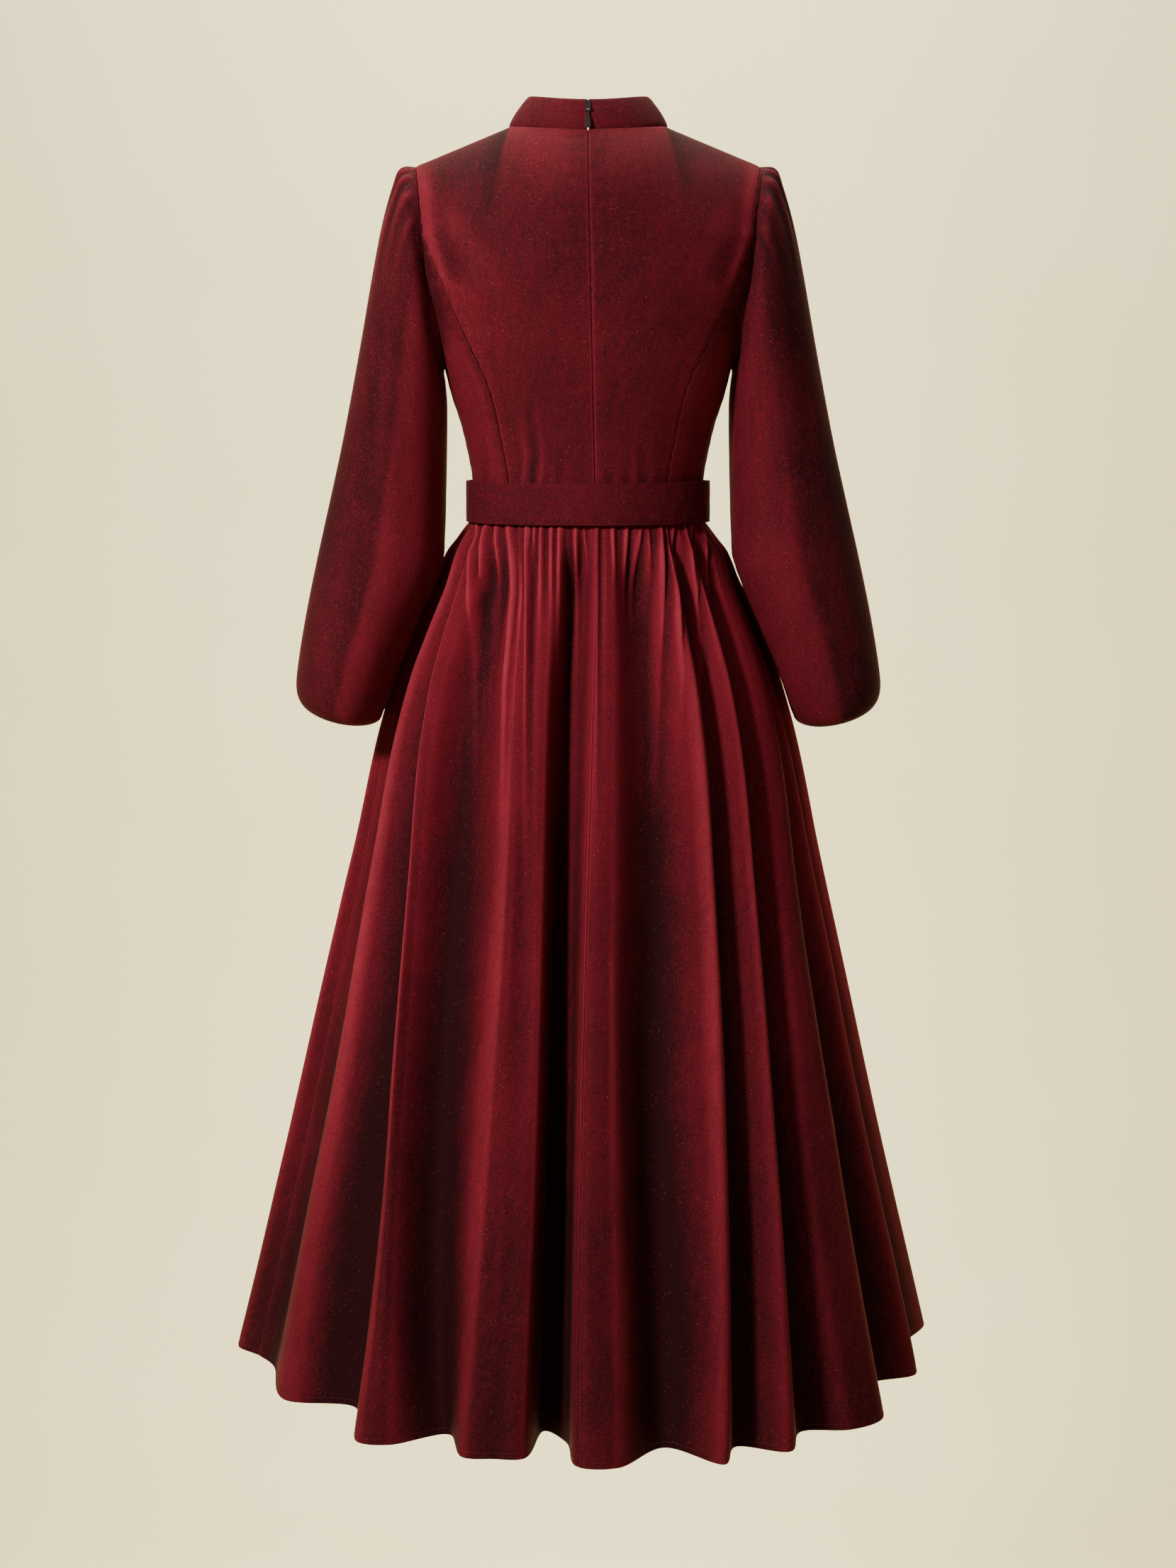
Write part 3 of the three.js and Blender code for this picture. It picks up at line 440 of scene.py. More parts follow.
# %% Points on the torso
def section(across, z, face, given, wanted):
    """Reach of the bodice's rounded section in one direction, at a distance in the other."""
    size = {"x": read(TORSO, "width", z), "y": read(TORSO, "back" if face > 0 else "front", z)}
    square = read(TORSO, "square", z)
    share = np.clip(np.abs(across) / size[given], 0, 1)
    return size[wanted] * (1 - share ** square) ** (1 / square)


def section_y(x, z, face):
    """Depth of the bodice's section at distance x from the centre plane."""
    return face * section(x, z, face, "x", "y")


def section_x(y, z, face):
    """Half width of the bodice's section at depth y."""
    return section(y, z, face, "y", "x")


def armhole(turn, face):
    """Armhole seam of the left side; turn is 0 at the shoulder tip and 180 at the underarm."""
    s, c = sin_cos(turn)
    y = face * ARMHOLE_REACH[face] * s
    z = -ARMHOLE_BOTTOM_Z / 2 * (c - 1)
    return np.stack([section_x(y, z, face), y, z], -1)


def neck(turn):
    """Neck seam of the left side; turn is 0 at the centre back and 180 at the centre front."""
    s, c = sin_cos(turn)
    depth = np.where(c > 0, NECK["back"], NECK["front"])
    lowest = np.where(c > 0, NECK["back_z"], NECK["front_z"])
    z = NECK["side_z"] + (lowest - NECK["side_z"]) * c * c
    return np.stack([NECK["width"] * s, depth * c, z], -1)


YOKE_TURN = np.degrees(np.arccos(1 - 2 * YOKE_Z / ARMHOLE_BOTTOM_Z))
print("princess seams meet the armholes at turn", round(float(YOKE_TURN), 1))


# %% Grids of points
CHEST_Z = -224
NECK_SHARE = 5 / 8
NECK_BEND = {1: (0, 104, -8), -1: (0, -97, -45)}
ZIP_TAPE_HALF = 14
EASE_ROUNDS = 160
EASE_ROWS = 16
YOKE_LIFT_WIDTH = 75


def columns(count, fine=(0.0, 0.006, 0.014, 0.025, 0.040)):
    """Steps from 0 to 1, closer together near both ends, where the seams roll in."""
    fine = np.array(fine)
    middle = np.linspace(fine[-1], 1 - fine[-1], count)[1:-1]
    return np.concatenate([fine, middle, 1 - fine[::-1]])


def princess_x(z, face):
    return np.where(z < YOKE_Z, read(PRINCESS, "out", z), armhole(YOKE_TURN, face)[0])


def centre_grid(face, lower=78, upper=34, across=44):
    """Left half of the centre panel, from the waist up to the neck and shoulder seams."""
    u = columns(across)
    z = np.linspace(WAIST_Z + SEAM_GAP, YOKE_Z, lower)[:, None]
    x = princess_x(z, face) * u[None, :]
    z = np.broadcast_to(z, x.shape)
    bottom = np.stack([x, section_y(x, z, face), z], -1)
    low = bottom[-1]
    turns = np.clip(u / NECK_SHARE, 0, 1) * 90
    seam = neck(turns if face > 0 else 180 - turns)
    shoulder = np.clip((u - NECK_SHARE) / (1 - NECK_SHARE), 0, 1)[:, None]
    high = seam + (armhole(0, face) - neck(90)) * shoulder
    bend = np.array(NECK_BEND[face])
    v = np.linspace(0, 1, upper)[1:, None, None]
    line = (1 - v) ** 2 * low[0] + 2 * v * (1 - v) * bend + v ** 2 * high[0]
    edge = armhole(YOKE_TURN * (1 - v[:, 0, 0]), face)[:, None, :]
    ruled = low * (1 - v) + high * v
    w = u[None, :, None]
    sides = line * (1 - w) + edge * w
    ends = ruled[:, :1] * (1 - w) + ruled[:, -1:] * w
    grid = np.concatenate([bottom, ruled + sides - ends])
    return ease_yoke(grid, lower - EASE_ROWS, face)


def ease_yoke(grid, row, face):
    """Evens the depth above a row, so that the corner at the neck sends no crease down.

    Where that would sink the cloth into the zip tape, the whole row is lifted a little."""
    start = grid[..., 1] * face
    hold = np.zeros(grid.shape[:2])
    hold[row:-1, :-1] = 1
    hold[row:row + EASE_ROWS] *= np.linspace(0, 1, EASE_ROWS)[:, None]
    hold[-10:] *= np.linspace(1, 0.15, 10)[:, None]
    hold[:, -8:] *= np.linspace(1, 0, 8)
    for _ in range(EASE_ROUNDS):
        padded = np.pad(grid[..., 1], 1, "edge")
        mean = (padded[:-2, 1:-1] + padded[2:, 1:-1] + padded[1:-1, :-2] + padded[1:-1, 2:]) / 4
        grid[..., 1] += (mean - grid[..., 1]) * hold * 0.8
    sunk = (start - grid[..., 1] * face) * (grid[..., 0] < ZIP_TAPE_HALF)
    lift = (sunk.max(1) - 0.3).clip(0)
    lift = np.convolve(np.pad(lift, 4, "edge"), np.full(9, 1 / 9), "valid")[:, None]
    grid[..., 1] += face * lift * bell(grid[..., 0], YOKE_LIFT_WIDTH)
    return grid


def lean_seam(grid, seam_is_last=False):
    """The centre back seam leans to the wearer's right on its way down to the waist."""
    away = np.linspace(0, 1, grid.shape[1])
    away = 1 - away if seam_is_last else away
    grid = grid.copy()
    grid[..., 0] -= BACK_SEAM_LEAN * (1 - away) * np.clip(grid[..., 2] / WAIST_Z, 0, 1)
    return grid


def side_grid(face, lower=40, upper=44, across=20):
    """Left side panel, from the princess seam to the side seam and the armhole."""
    u = columns(across, (0.0, 0.02, 0.05, 0.09))
    z = np.linspace(WAIST_Z + SEAM_GAP, CHEST_Z, lower)
    seam_z = np.interp(np.linspace(0, 5, upper), range(6), (-190, -168, -144, -118, -96, YOKE_Z))
    start_z = np.concatenate([z, np.linspace(CHEST_Z, seam_z[0], 9)[1:-1], seam_z])
    x = princess_x(start_z, face)
    start = np.stack([x, section_y(x, start_z, face), start_z], -1)
    end_z = np.concatenate([z, np.linspace(CHEST_Z, ARMHOLE_BOTTOM_Z, 9)[1:-1]])
    end = np.stack([section_x(0 * end_z, end_z, face), 0 * end_z, end_z], -1)
    end = np.concatenate([end, armhole(np.linspace(180, 84, upper), face)])
    y = start[:, 1:2] + (end[:, 1:2] - start[:, 1:2]) * u
    z = start[:, 2:] + (end[:, 2:] - start[:, 2:]) * u
    return np.stack([section_x(y, z, face), y, z], -1)


def mirrored(grid):
    return (grid * np.array([-1, 1, 1]))[:, ::-1]


print("centre grid", centre_grid(1).shape, "side grid", side_grid(1).shape)

# %% [markdown]
# ## Turning a grid into cloth
# A grid of points becomes a mesh of quads, with a UV map that counts real metres across and
# along the cloth, so that the pile's streaks follow it, and with the velvet's two attributes of
# painted light and shade: ridge, and a value given for each point. The Solidify modifier gives
# the sheet its thickness inwards, and its rim is the cut edge.


# %% Cloth from a grid
def grid_normals(grid, facing):
    across = np.gradient(grid, axis=1)
    along = np.gradient(grid, axis=0)
    normal = np.cross(across, along) * facing
    return normal / np.maximum(np.linalg.norm(normal, axis=-1, keepdims=True), 1e-9)


def lengths(grid, axis):
    steps = np.linalg.norm(np.diff(grid, axis=axis), axis=-1)
    zero = np.zeros_like(np.take(steps, [0], axis=axis))
    return np.concatenate([zero, np.cumsum(steps, axis=axis)], axis=axis)


def from_edges(grid):
    """Distance of each point from the first and the last column of its row."""
    run = lengths(grid, 1)
    return run, run[:, -1:] - run


def ridges(grid, normal, step, scale):
    """Painted light and shade for the colour: 1 where the cloth stands proud of its surroundings or
    rolls into a seam, 0 in a trough.
    """
    padded = np.pad(grid, ((0, 0), (step, step), (0, 0)), "edge")
    around = (padded[:, :-2 * step] + padded[:, 2 * step:]) / 2
    proud = ((grid - around) * normal).sum(-1)
    proud[:, :step] *= np.linspace(0, 1, step)
    proud[:, -step:] *= np.linspace(1, 0, step)
    proud = 0.5 + proud / scale
    # A painted highlight along both seam edges.
    for distance in from_edges(grid):
        proud = proud + 0.3 * bell(distance - 1.4, 0.8)
    return np.clip(proud, 0, 1)


def worn(name, mesh):
    """A piece that rides on the dress and belongs to its cloth."""
    piece = stand(name, mesh)
    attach(piece, BODY)
    return piece


def velvet_piece(name, node, grid, faces, tones):
    """A velvet mesh in place of a CAD node; tones holds a value per point for each attribute."""
    mesh = bpy.data.meshes.new(name)
    mesh.from_pydata((grid.reshape(-1, 3) * MM).tolist(), [], faces)
    mesh.polygons.foreach_set("use_smooth", np.ones(len(faces), bool))
    flat = np.stack([lengths(grid, 1), lengths(grid, 0)], -1).reshape(-1, 2) * MM
    corner = np.empty(len(mesh.loops), np.int32)
    mesh.loops.foreach_get("vertex_index", corner)
    mesh.uv_layers.new(name="cloth").data.foreach_set("uv", flat[corner].ravel())
    for key, values in tones.items():
        mesh.attributes.new(key, "FLOAT", "POINT").data.foreach_set("value", values.ravel())
    mesh.materials.append(velvet)
    piece = worn(name, mesh)
    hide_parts(node)
    return piece


def cloth(name, node, grid, facing, step=4, scale=3.0, nap=0.0):
    """A sheet of velvet from a grid. facing is 1 or -1, for the grid's side that faces out."""
    normal = grid_normals(grid, facing)
    rows, across = grid.shape[:2]
    index = np.arange(rows * across).reshape(rows, across)
    quads = np.stack([index[:-1, :-1], index[:-1, 1:], index[1:, 1:], index[1:, :-1]], -1)
    quads = quads.reshape(-1, 4)[:, ::facing]
    # Both attributes are painted light and shade: ridge from the cloth's shape, the other as given.
    tones = {"ridge": ridges(grid, normal, step, scale), "nap": nap + np.zeros((rows, across))}
    piece = velvet_piece(name, node, grid, quads.tolist(), tones)
    solid = piece.modifiers.new("wall", "SOLIDIFY")
    solid.thickness = CLOTH * MM
    solid.offset = -1
    sides = np.diff(grid, axis=1)[:-1], np.diff(grid, axis=0)[:, :-1]
    area = np.linalg.norm(np.cross(*sides), axis=-1).sum() * MM * MM
    print(name, rows, "x", across, "area", round(float(area), 3), "m2")
    return piece


print("wall", CLOTH, "mm")

# %% [markdown]
# ## Seams and soft creases
# A sewn seam pulls both edges in, so a panel rolls down towards its edge, and the stitches
# gather it a little into a row of faint puckers. The few creases in the bodice are listed: each
# is a line from a seam into the panel, with a depth and a width.


# %% Seam rolls and creases
def roll_seams(grid, facing, depth=(1.0, 1.0), width=2.4, pucker=0.28, pitch=17.0):
    """Sinks both side edges into their seams; depth is for the first and the last column."""
    normal = grid_normals(grid, facing)
    run = lengths(grid, 0)
    drop = 0
    for distance, amount, phase in zip(from_edges(grid), depth, (0.0, 1.7)):
        ditch = 0.7 * amount * bell(distance, width)
        wave = np.sin(run / pitch * 2 * np.pi + phase + 0.9 * np.sin(run / 61))
        drop = drop + ditch + pucker * wave * np.exp(-distance / 9) * (amount > 0)
    grid = grid - normal * drop[..., None]
    for column, beside in ((0, 1), (-1, -2)):
        way = grid[:, beside] - grid[:, column]
        way /= np.maximum(np.linalg.norm(way, axis=-1, keepdims=True), 1e-9)
        grid[:, column] += way * SEAM_GAP / 2
    return grid


def press(grid, facing, creases):
    """Presses creases into a grid: (x, z) points of a line, a depth and a width for each.

    A crease is deepest at its first point and dies out at its last."""
    place = grid[..., [0, 2]]
    drop = np.zeros(grid.shape[:2])
    for points, depth, width in creases:
        line = np.array(points, float)
        best = np.full(grid.shape[:2], 1e9)
        share = np.zeros(grid.shape[:2])
        count = len(line) - 1
        for k in range(count):
            way = line[k + 1] - line[k]
            t = np.clip(((place - line[k]) @ way) / (way @ way), 0, 1)
            distance = np.linalg.norm(place - (line[k] + t[..., None] * way), axis=-1)
            nearer = distance < best
            best = np.where(nearer, distance, best)
            share = np.where(nearer, (k + t) / count, share)
        profile = bell(best, width) - 0.45 * bell(best - 1.9 * width, width)
        drop += depth * (1 - share) ** 0.8 * profile
    return grid - grid_normals(grid, facing) * drop[..., None]


BACK_CREASES = [
    ([(59, -331), (56, -300), (60, -272), (64, -240)], 0.8, 4.5),
    ([(-58, -331), (-56, -300), (-60, -268)], 0.5, 5),
    ([(30, -331), (28, -312), (31, -296)], 0.35, 4),
    ([(-22, -331), (-21, -310), (-25, -290)], 0.35, 4),
    ([(-40, -331), (-41, -314), (-39, -300)], 0.3, 3.5),
    ([(108, -331), (107, -300), (116, -258)], 0.5, 6),
    ([(168, -64), (150, -92), (124, -120), (96, -138)], 0.8, 15),
    ([(-168, -64), (-150, -92), (-124, -120)], 0.8, 15)]
FRONT_CREASES = [
    ([(60, -330), (62, -290), (70, -240)], 2, 8),
    ([(-56, -330), (-60, -286), (-66, -246)], 2.2, 8),
    ([(164, -80), (140, -110), (110, -136)], 1.6, 11),
    ([(-164, -80), (-142, -112), (-112, -134)], 1.6, 11)]
print("creases", len(BACK_CREASES) + len(FRONT_CREASES))

# %% [markdown]
# ## Bodice
# Seven panels: two centre backs with the zip between them, two side backs, a centre front and
# two side fronts. The curved princess seams take in the waist without darts.

# %% Bodice panels
# Painted shade in the colour: the bodice darker, its side panels darker still.
BODICE_PAINTED_SHADE = -0.24
SIDE_PAINTED_SHADE = -0.34
bodice = []


def add_panel(name, grid, face, nap, rolls=(1.0, 1.0)):
    creases = BACK_CREASES if face > 0 else FRONT_CREASES
    grid = roll_seams(press(grid, -face, creases), -face, rolls)
    bodice.append(cloth("velvet_" + name, name, grid, -face, nap=nap))


half = centre_grid(1)
add_panel("centre_back_left", lean_seam(half), 1, BODICE_PAINTED_SHADE, (0.7, 1.0))
add_panel("centre_back_right", lean_seam(mirrored(half), True), 1, BODICE_PAINTED_SHADE, (1.0, 0.7))
half = centre_grid(-1)
add_panel("centre_front", np.concatenate([mirrored(half), half[:, 1:]], axis=1), -1, BODICE_PAINTED_SHADE)
for part, face in (("side_back", 1), ("side_front", -1)):
    add_panel(part + "_left", side_grid(face), face, SIDE_PAINTED_SHADE)
    add_panel(part + "_right", mirrored(side_grid(face)), face, SIDE_PAINTED_SHADE)
print(len(bodice), "bodice panels")

# %% [markdown]
# ## Collar
# The stand collar is a strip that follows the neck seam and leans in towards its upper edge. It
# is doubled, so its upper edge is a soft fold. Its ends meet at the centre back, with the zip's
# slider between them.

# %% Collar strip
COLLAR_HEIGHT = 31
COLLAR_LEAN = 20 / 84
COLLAR_OPENING = 1.8
FOOT_TUCK = 0.2


def tuck_in(grid, centre, shift, depth):
    """Adds a first row that turns in behind the neighbour's edge, as a seam allowance does."""
    way = centre - grid[0]
    way /= np.linalg.norm(way, axis=-1, keepdims=True)
    return np.concatenate([(grid[0] + way * depth + np.array(shift))[None], grid])


def collar_grid():
    rise = np.concatenate([[0, 0.02, 0.05, 0.1], np.linspace(0.16, 0.9, 16), [0.94, 0.97, 0.99, 1]])
    end = np.degrees(COLLAR_OPENING / 2 / NECK["width"]) / (1 - 0.3 * rise)
    fine = np.array([0, 0.8, 1.8, 3.2])
    turns = np.concatenate([fine, np.linspace(5, 355, 190), 360 - fine[::-1]])
    turn = np.clip(turns[None, :], end[:, None], 360 - end[:, None])
    side = np.where(turn <= 180, 1, -1)
    foot = neck(np.where(turn <= 180, turn, 360 - turn))
    rise = rise[:, None]
    bow = 1 - COLLAR_LEAN * rise ** 1.35
    wobble = 0.5 * np.sin(np.radians(turn) * 3 + 1) * rise + 0.35 * np.sin(np.radians(turn) * 7)
    x = side * foot[..., 0] * bow
    y = foot[..., 1] * (bow + 0.06 * rise)
    out = np.stack([x, y, 0 * x], -1)
    out /= np.linalg.norm(out, axis=-1, keepdims=True)
    up = rise * COLLAR_HEIGHT
    z = foot[..., 2] + SEAM_GAP + up - FOOT_TUCK * bell(rise, 0.03)
    edge = 0.5 * bell(up, 1.8) + 0.8 * bell(COLLAR_HEIGHT - up, 1.2)
    near = np.exp(-np.minimum(turn, 360 - turn) / 3.0)
    grid = np.stack([x, y, z], -1) + out * (wobble * (1 - near) - edge)[..., None]
    return tuck_in(grid, np.array([0, 0, NECK["side_z"]]), (0, 0, -1.0), 2.2)


# Painted shade: the collar's colour is a little darker.
COLLAR_PAINTED_SHADE = -0.16
collar = cloth("velvet_collar", "collar", collar_grid(), -1, step=3, nap=COLLAR_PAINTED_SHADE)
print("collar done")

# %% [markdown]
# ## Sleeves
# A sleeve is a stack of rings. The first lies on the armhole, the next ones turn and widen into
# the arm's full, hanging tube, and the last ones roll inwards to a soft open end. The head is
# gathered: about ten small pleats leave the seam at the top and die out in 80 mm.

# %% Sleeve rings
SLEEVE = [dict(zip(("outX", "outZ", "inX", "inZ", "depth"), row)) for row in (
    (182.5, 0, 153.8, -212, 55), (195, -4, 154, -215, 60), (205, -20, 154, -219, 65),
    (213, -42, 153, -225, 68), (221, -72, 152, -234, 69), (230, -116, 151, -248, 68),
    (241, -175, 151, -270, 66), (252.5, -234, 151.5, -300, 64), (265, -295, 152.5, -340, 64),
    (279, -356, 154, -384, 67), (292, -412, 158, -425, 71), (304, -468, 178, -476, 75),
    (313, -518, 201, -530, 78), (316.5, -552, 217, -574, 78), (310, -570, 227, -589, 73),
    (296, -578, 240, -592, 62), (289, -573, 248, -586, 55))]
RING_VALUES = tuple(SLEEVE[0])
SWING = {"left": 8, "right": 15}
# Painted shade in the sleeves' colour, deeper on the right sleeve, away from the key light.
SLEEVE_PAINTED_SHADE = {"left": -0.32, "right": -0.44}
HEAD_PLEATS = {
    "left": [(-72, 1.2, 40), (-54, 1.8, 60), (-37, 2, 50), (-22, 2.2, 75), (-9, 1.8, 45),
             (3, 2.4, 52), (14, 2.4, 40), (27, 1.9, 112), (45, 1.1, 60), (63, 0.8, 50)],
    "right": [(-70, 1.2, 44), (-52, 1.8, 56), (-36, 2.2, 70), (-19, 1.8, 48), (-6, 2, 60),
              (6, 2.4, 36), (17, 2.5, 62), (31, 2, 95), (49, 1, 60), (67, 0.8, 50)]}
SLEEVE_CREASES = {
    "left": [(0.34, 58, 0.7, 10, 0.6), (0.50, 112, 0.8, 12, 0.6), (0.62, 30, 0.8, 14, 0.8),
             (0.76, 84, 1, 16, 0.9), (0.70, -60, 2, 14, 0.9), (0.74, -118, 2, 13, 0.9)],
    "right": [(0.32, 62, 0.7, 10, 0.6), (0.48, 110, 0.8, 12, 0.6), (0.64, 34, 0.8, 14, 0.8),
              (0.74, 76, 1, 16, 0.9), (0.72, -52, 2, 14, 0.9), (0.76, -110, 2, 13, 0.9)]}
ARMHOLE_CENTRE = np.array([165, 0, ARMHOLE_BOTTOM_Z / 2])
ARMHOLE_GAP = 0.35
ROLLED_END = 14.6
DEPTH_AT_WAIST, DEPTH_GAIN = 0.74, 0.11  # the skirt's depth as a share of its width


def ring_values(level):
    """The sleeve table at ring numbers that need not be whole."""
    table = [dict(row, z=k) for k, row in enumerate(SLEEVE)]
    return [read(table, name, level)[:, None] for name in RING_VALUES]


def skirt_fall(z):
    """0 at the waist and 1 at the hem."""
    return (WAIST_Z - z) / (WAIST_Z - HEM_Z)


def skirt_depth(z):
    return read(SKIRT, "width", z) * (DEPTH_AT_WAIST + DEPTH_GAIN * skirt_fall(z))


def bodice_side(y, z):
    return np.where(y >= 0, section_x(y, z, 1), section_x(y, z, -1))


def skirt_side(y, z):
    share = np.clip(np.abs(y) / skirt_depth(z), 0, 1)
    return read(SKIRT, "width", z) * np.sqrt(1 - share ** 2)


def sleeve_grid(side):
    level = np.concatenate([np.linspace(0, 4, 44), np.linspace(4, 12, 78)[1:],
                            np.linspace(12, 16, 44)[1:]])
    head = np.linspace(-92, 92, 116)
    under = np.linspace(92, 180, 26)[1:]
    turn = np.concatenate([-under[::-1], head, under])[None, :]
    out_x, out_z, in_x, in_z, depth = ring_values(level)
    s, c = sin_cos(turn)
    share = (1 - c) / 2
    x = out_x + (in_x - out_x) * share
    z = out_z + (in_z - out_z) * share
    hang = smooth(240, 560, -(out_z + in_z) / 2)
    y = depth * s + SWING[side] * hang
    beside = np.where(z < WAIST_Z - 20, skirt_side(y, z) + 1.2, bodice_side(y, z) + 0.9)
    x = np.where(z < YOKE_Z, np.maximum(x, beside), x)
    start = np.where(turn[..., None] >= 0, armhole(np.abs(turn), 1), armhole(np.abs(turn), -1))
    start[..., 0] += ARMHOLE_GAP
    weight = smooth(0, 1.3, level)[:, None, None]
    tube = start * (1 - weight) + np.stack([x, y, z], -1) * weight
    return shape_sleeve(tube, turn, level, side)


def shape_sleeve(tube, turn, level, side):
    """Head pleats, the roll at the armhole seam, and soft folds down the tube."""
    run = lengths(tube, 0)
    lift = np.zeros(tube.shape[:2])
    came = smooth(0.0, 14.0, run)
    for place, depth, reach in HEAD_PLEATS[side]:
        spread = 3.3 + run * 0.035
        away = turn - place - 0.02 * run * np.sign(place)
        pleat = bell(away, spread) - 0.55 * bell(away - 6.2, spread)
        lift += depth * pleat * came * np.exp(-(run / reach) ** 1.6)
    lift -= 0.5 * bell(run, 2.2)
    lift += 2.2 * bell(run - 16, 12) * smooth(120, 60, np.abs(turn)) * came
    share = run / run[-1:, :]
    for height, place, depth, width, reach in SLEEVE_CREASES[side]:
        drift = place + 26 * (share - height)
        across = bell(turn - drift, width) - 0.6 * bell(turn - drift - 1.8 * width, width)
        lift -= depth * across * bell(share - height, 0.26 * reach)
    lift *= smooth(180, 168, np.abs(turn)) * (level[:, None] <= ROLLED_END)
    tube = tube + grid_normals(tube, -1) * lift[..., None]
    return tuck_in(tube, ARMHOLE_CENTRE, (-1.6, 0, 0), 2.4)


sleeves = []
for side in ("left", "right"):
    grid = sleeve_grid(side) if side == "left" else mirrored(sleeve_grid(side))
    grid = roll_seams(grid, -1, (0.5, 0.5), pucker=0.0)
    name = "sleeve_" + side
    sleeves.append(cloth("velvet_" + name, name, grid, -1, 5, 5, SLEEVE_PAINTED_SHADE[side]))
print(len(sleeves), "sleeves")

# %% [markdown]
# ## Skirt
# Three panels are gathered into the waist seam. Each fold is a line that starts at the belt and
# fans out to the hem: the table gives its angle round the waist and round the hem, and how far
# it lies inside the skirt's envelope. At every height a smooth closed curve runs through all the
# lines, so ridges stay round and troughs stay deep. The small gathers under the belt are a wave
# on top, each with its own depth and length.

# %% Fold lines
LEFT_FOLDS = (  # name, angle at the belt, angle at the hem, inset, turn
    ("side seam", 88, 86, 23, 1), ("side trough", 83, 79.8, 38, 1),
    ("outer ridge", 78, 61.1, 23, 0.9), ("outer trough", 69, 51, 70, 1.3),
    ("lit ridge", 60, 37.3, 4, 1.7), ("lit ridge's inner side", 53.5, 32.5, 15, 1),
    ("deep trough", 46, 26.7, 68, 0.65), ("centre ridge's edge", 30.5, 19.7, 16, 6),
    ("centre ridge's crown", 23, 14.8, 20, 4), ("its inner edge", 15, 10.2, 27, 3),
    ("centre trough", 1.5, 9.2, 106, 7), ("its rise", -1.2, 4.1, 76, 6))
RIGHT_FOLDS = (
    ("centre back seam", -4, 1.6, 10, 2.5), ("centre ridge", -10, -4.4, 6, 3.5),
    ("soft trough", -21, -13.4, 54, 1.5), ("long ridge", -34, -20, -6, 0.9),
    ("narrow trough", -41, -25, 34, 1), ("faint ridge", -48, -31.2, -2, 1),
    ("middle trough", -55, -38.4, 36, 1.3), ("broad ridge", -63, -45, 8, 1.6),
    ("broad ridge's edge", -71, -52.4, 4, 2), ("outer trough", -78, -67.5, 60, 1.5),
    ("outer ridge", -85, -75.5, 22, 0.6), ("side seam", -90, -89, 42, 1))
FRONT_FOLDS = (  # angle at the belt, angle at the hem, inset
    (-98, -104, -4), (-106, -113, 58), (-114, -121, 5), (-122, -130, 62), (-130, -137.5, 10),
    (-138, -144, 18), (-146, -151, 72), (-154, -157.5, 6), (-162, -165, 48), (-170, -172.5, 2),
    (-178, -180.5, 74), (-186, -187.5, 8), (-194, -195, 52), (-202, -202, 3), (-210, -210, 70),
    (-218, -217, 6), (-226, -224, 20), (-234, -232.5, 64), (-242, -241, 2), (-250, -250.5, 58),
    (-258, -260, 8), (-265, -269, 0))
FRONT_TURN = 2.5
FOLDS = np.array([row[1:] for row in LEFT_FOLDS + RIGHT_FOLDS]
                 + [row + (FRONT_TURN,) for row in FRONT_FOLDS])
BACK_SEAM = len(LEFT_FOLDS)
RIGHT_SEAM = BACK_SEAM + len(RIGHT_FOLDS) - 1
FOLD_START, FOLD_FULL = 8, 95
print(len(FOLDS), "fold lines")


# %% A curve through the fold lines at each height
def fold_angles(z):
    """Angle of every fold line at the heights z, as an array of rows by lines."""
    belt, hem, _, turn = FOLDS.T
    return np.radians(hem + (belt - hem) * (1 - skirt_fall(z)[:, None]) ** turn)


def fold_points(z):
    """Fold lines at the heights z, as an array of rows by lines by x and y."""
    angle = fold_angles(z)
    hem_size = read(SKIRT, "width", HEM_Z) * (1 + DEPTH_AT_WAIST + DEPTH_GAIN) / 2
    inward = FOLDS[:, 2] / hem_size * smooth(FOLD_START, FOLD_FULL, WAIST_Z - z)[:, None]
    width = read(SKIRT, "width", z)[:, None] * (1 - inward)
    depth = skirt_depth(z)[:, None] * (1 - inward)
    return np.stack([width * np.sin(angle), depth * np.cos(angle)], -1)


def through(points, q):
    """Centripetal curve through closed rows of points; q counts points and may have fractions."""
    count = points.shape[1]
    i = np.floor(q).astype(int)
    f = (q - i)[None, :, None]
    p0, p1, p2, p3 = (points[:, (i + k) % count] for k in (-1, 0, 1, 2))
    d0, d1, d2 = (np.sqrt(np.linalg.norm(b - a, axis=-1, keepdims=True))
                  for a, b in ((p0, p1), (p1, p2), (p2, p3)))
    t1 = ((p1 - p0) / d0 - (p2 - p0) / (d0 + d1) + (p2 - p1) / d1) * d1
    t2 = ((p2 - p1) / d1 - (p3 - p1) / (d1 + d2) + (p3 - p2) / d2) * d1
    a = 2 * p1 - 2 * p2 + t1 + t2
    b = -3 * p1 + 3 * p2 - 2 * t1 - t2
    return ((a * f + b) * f + t1) * f + p1


print("curve ready")

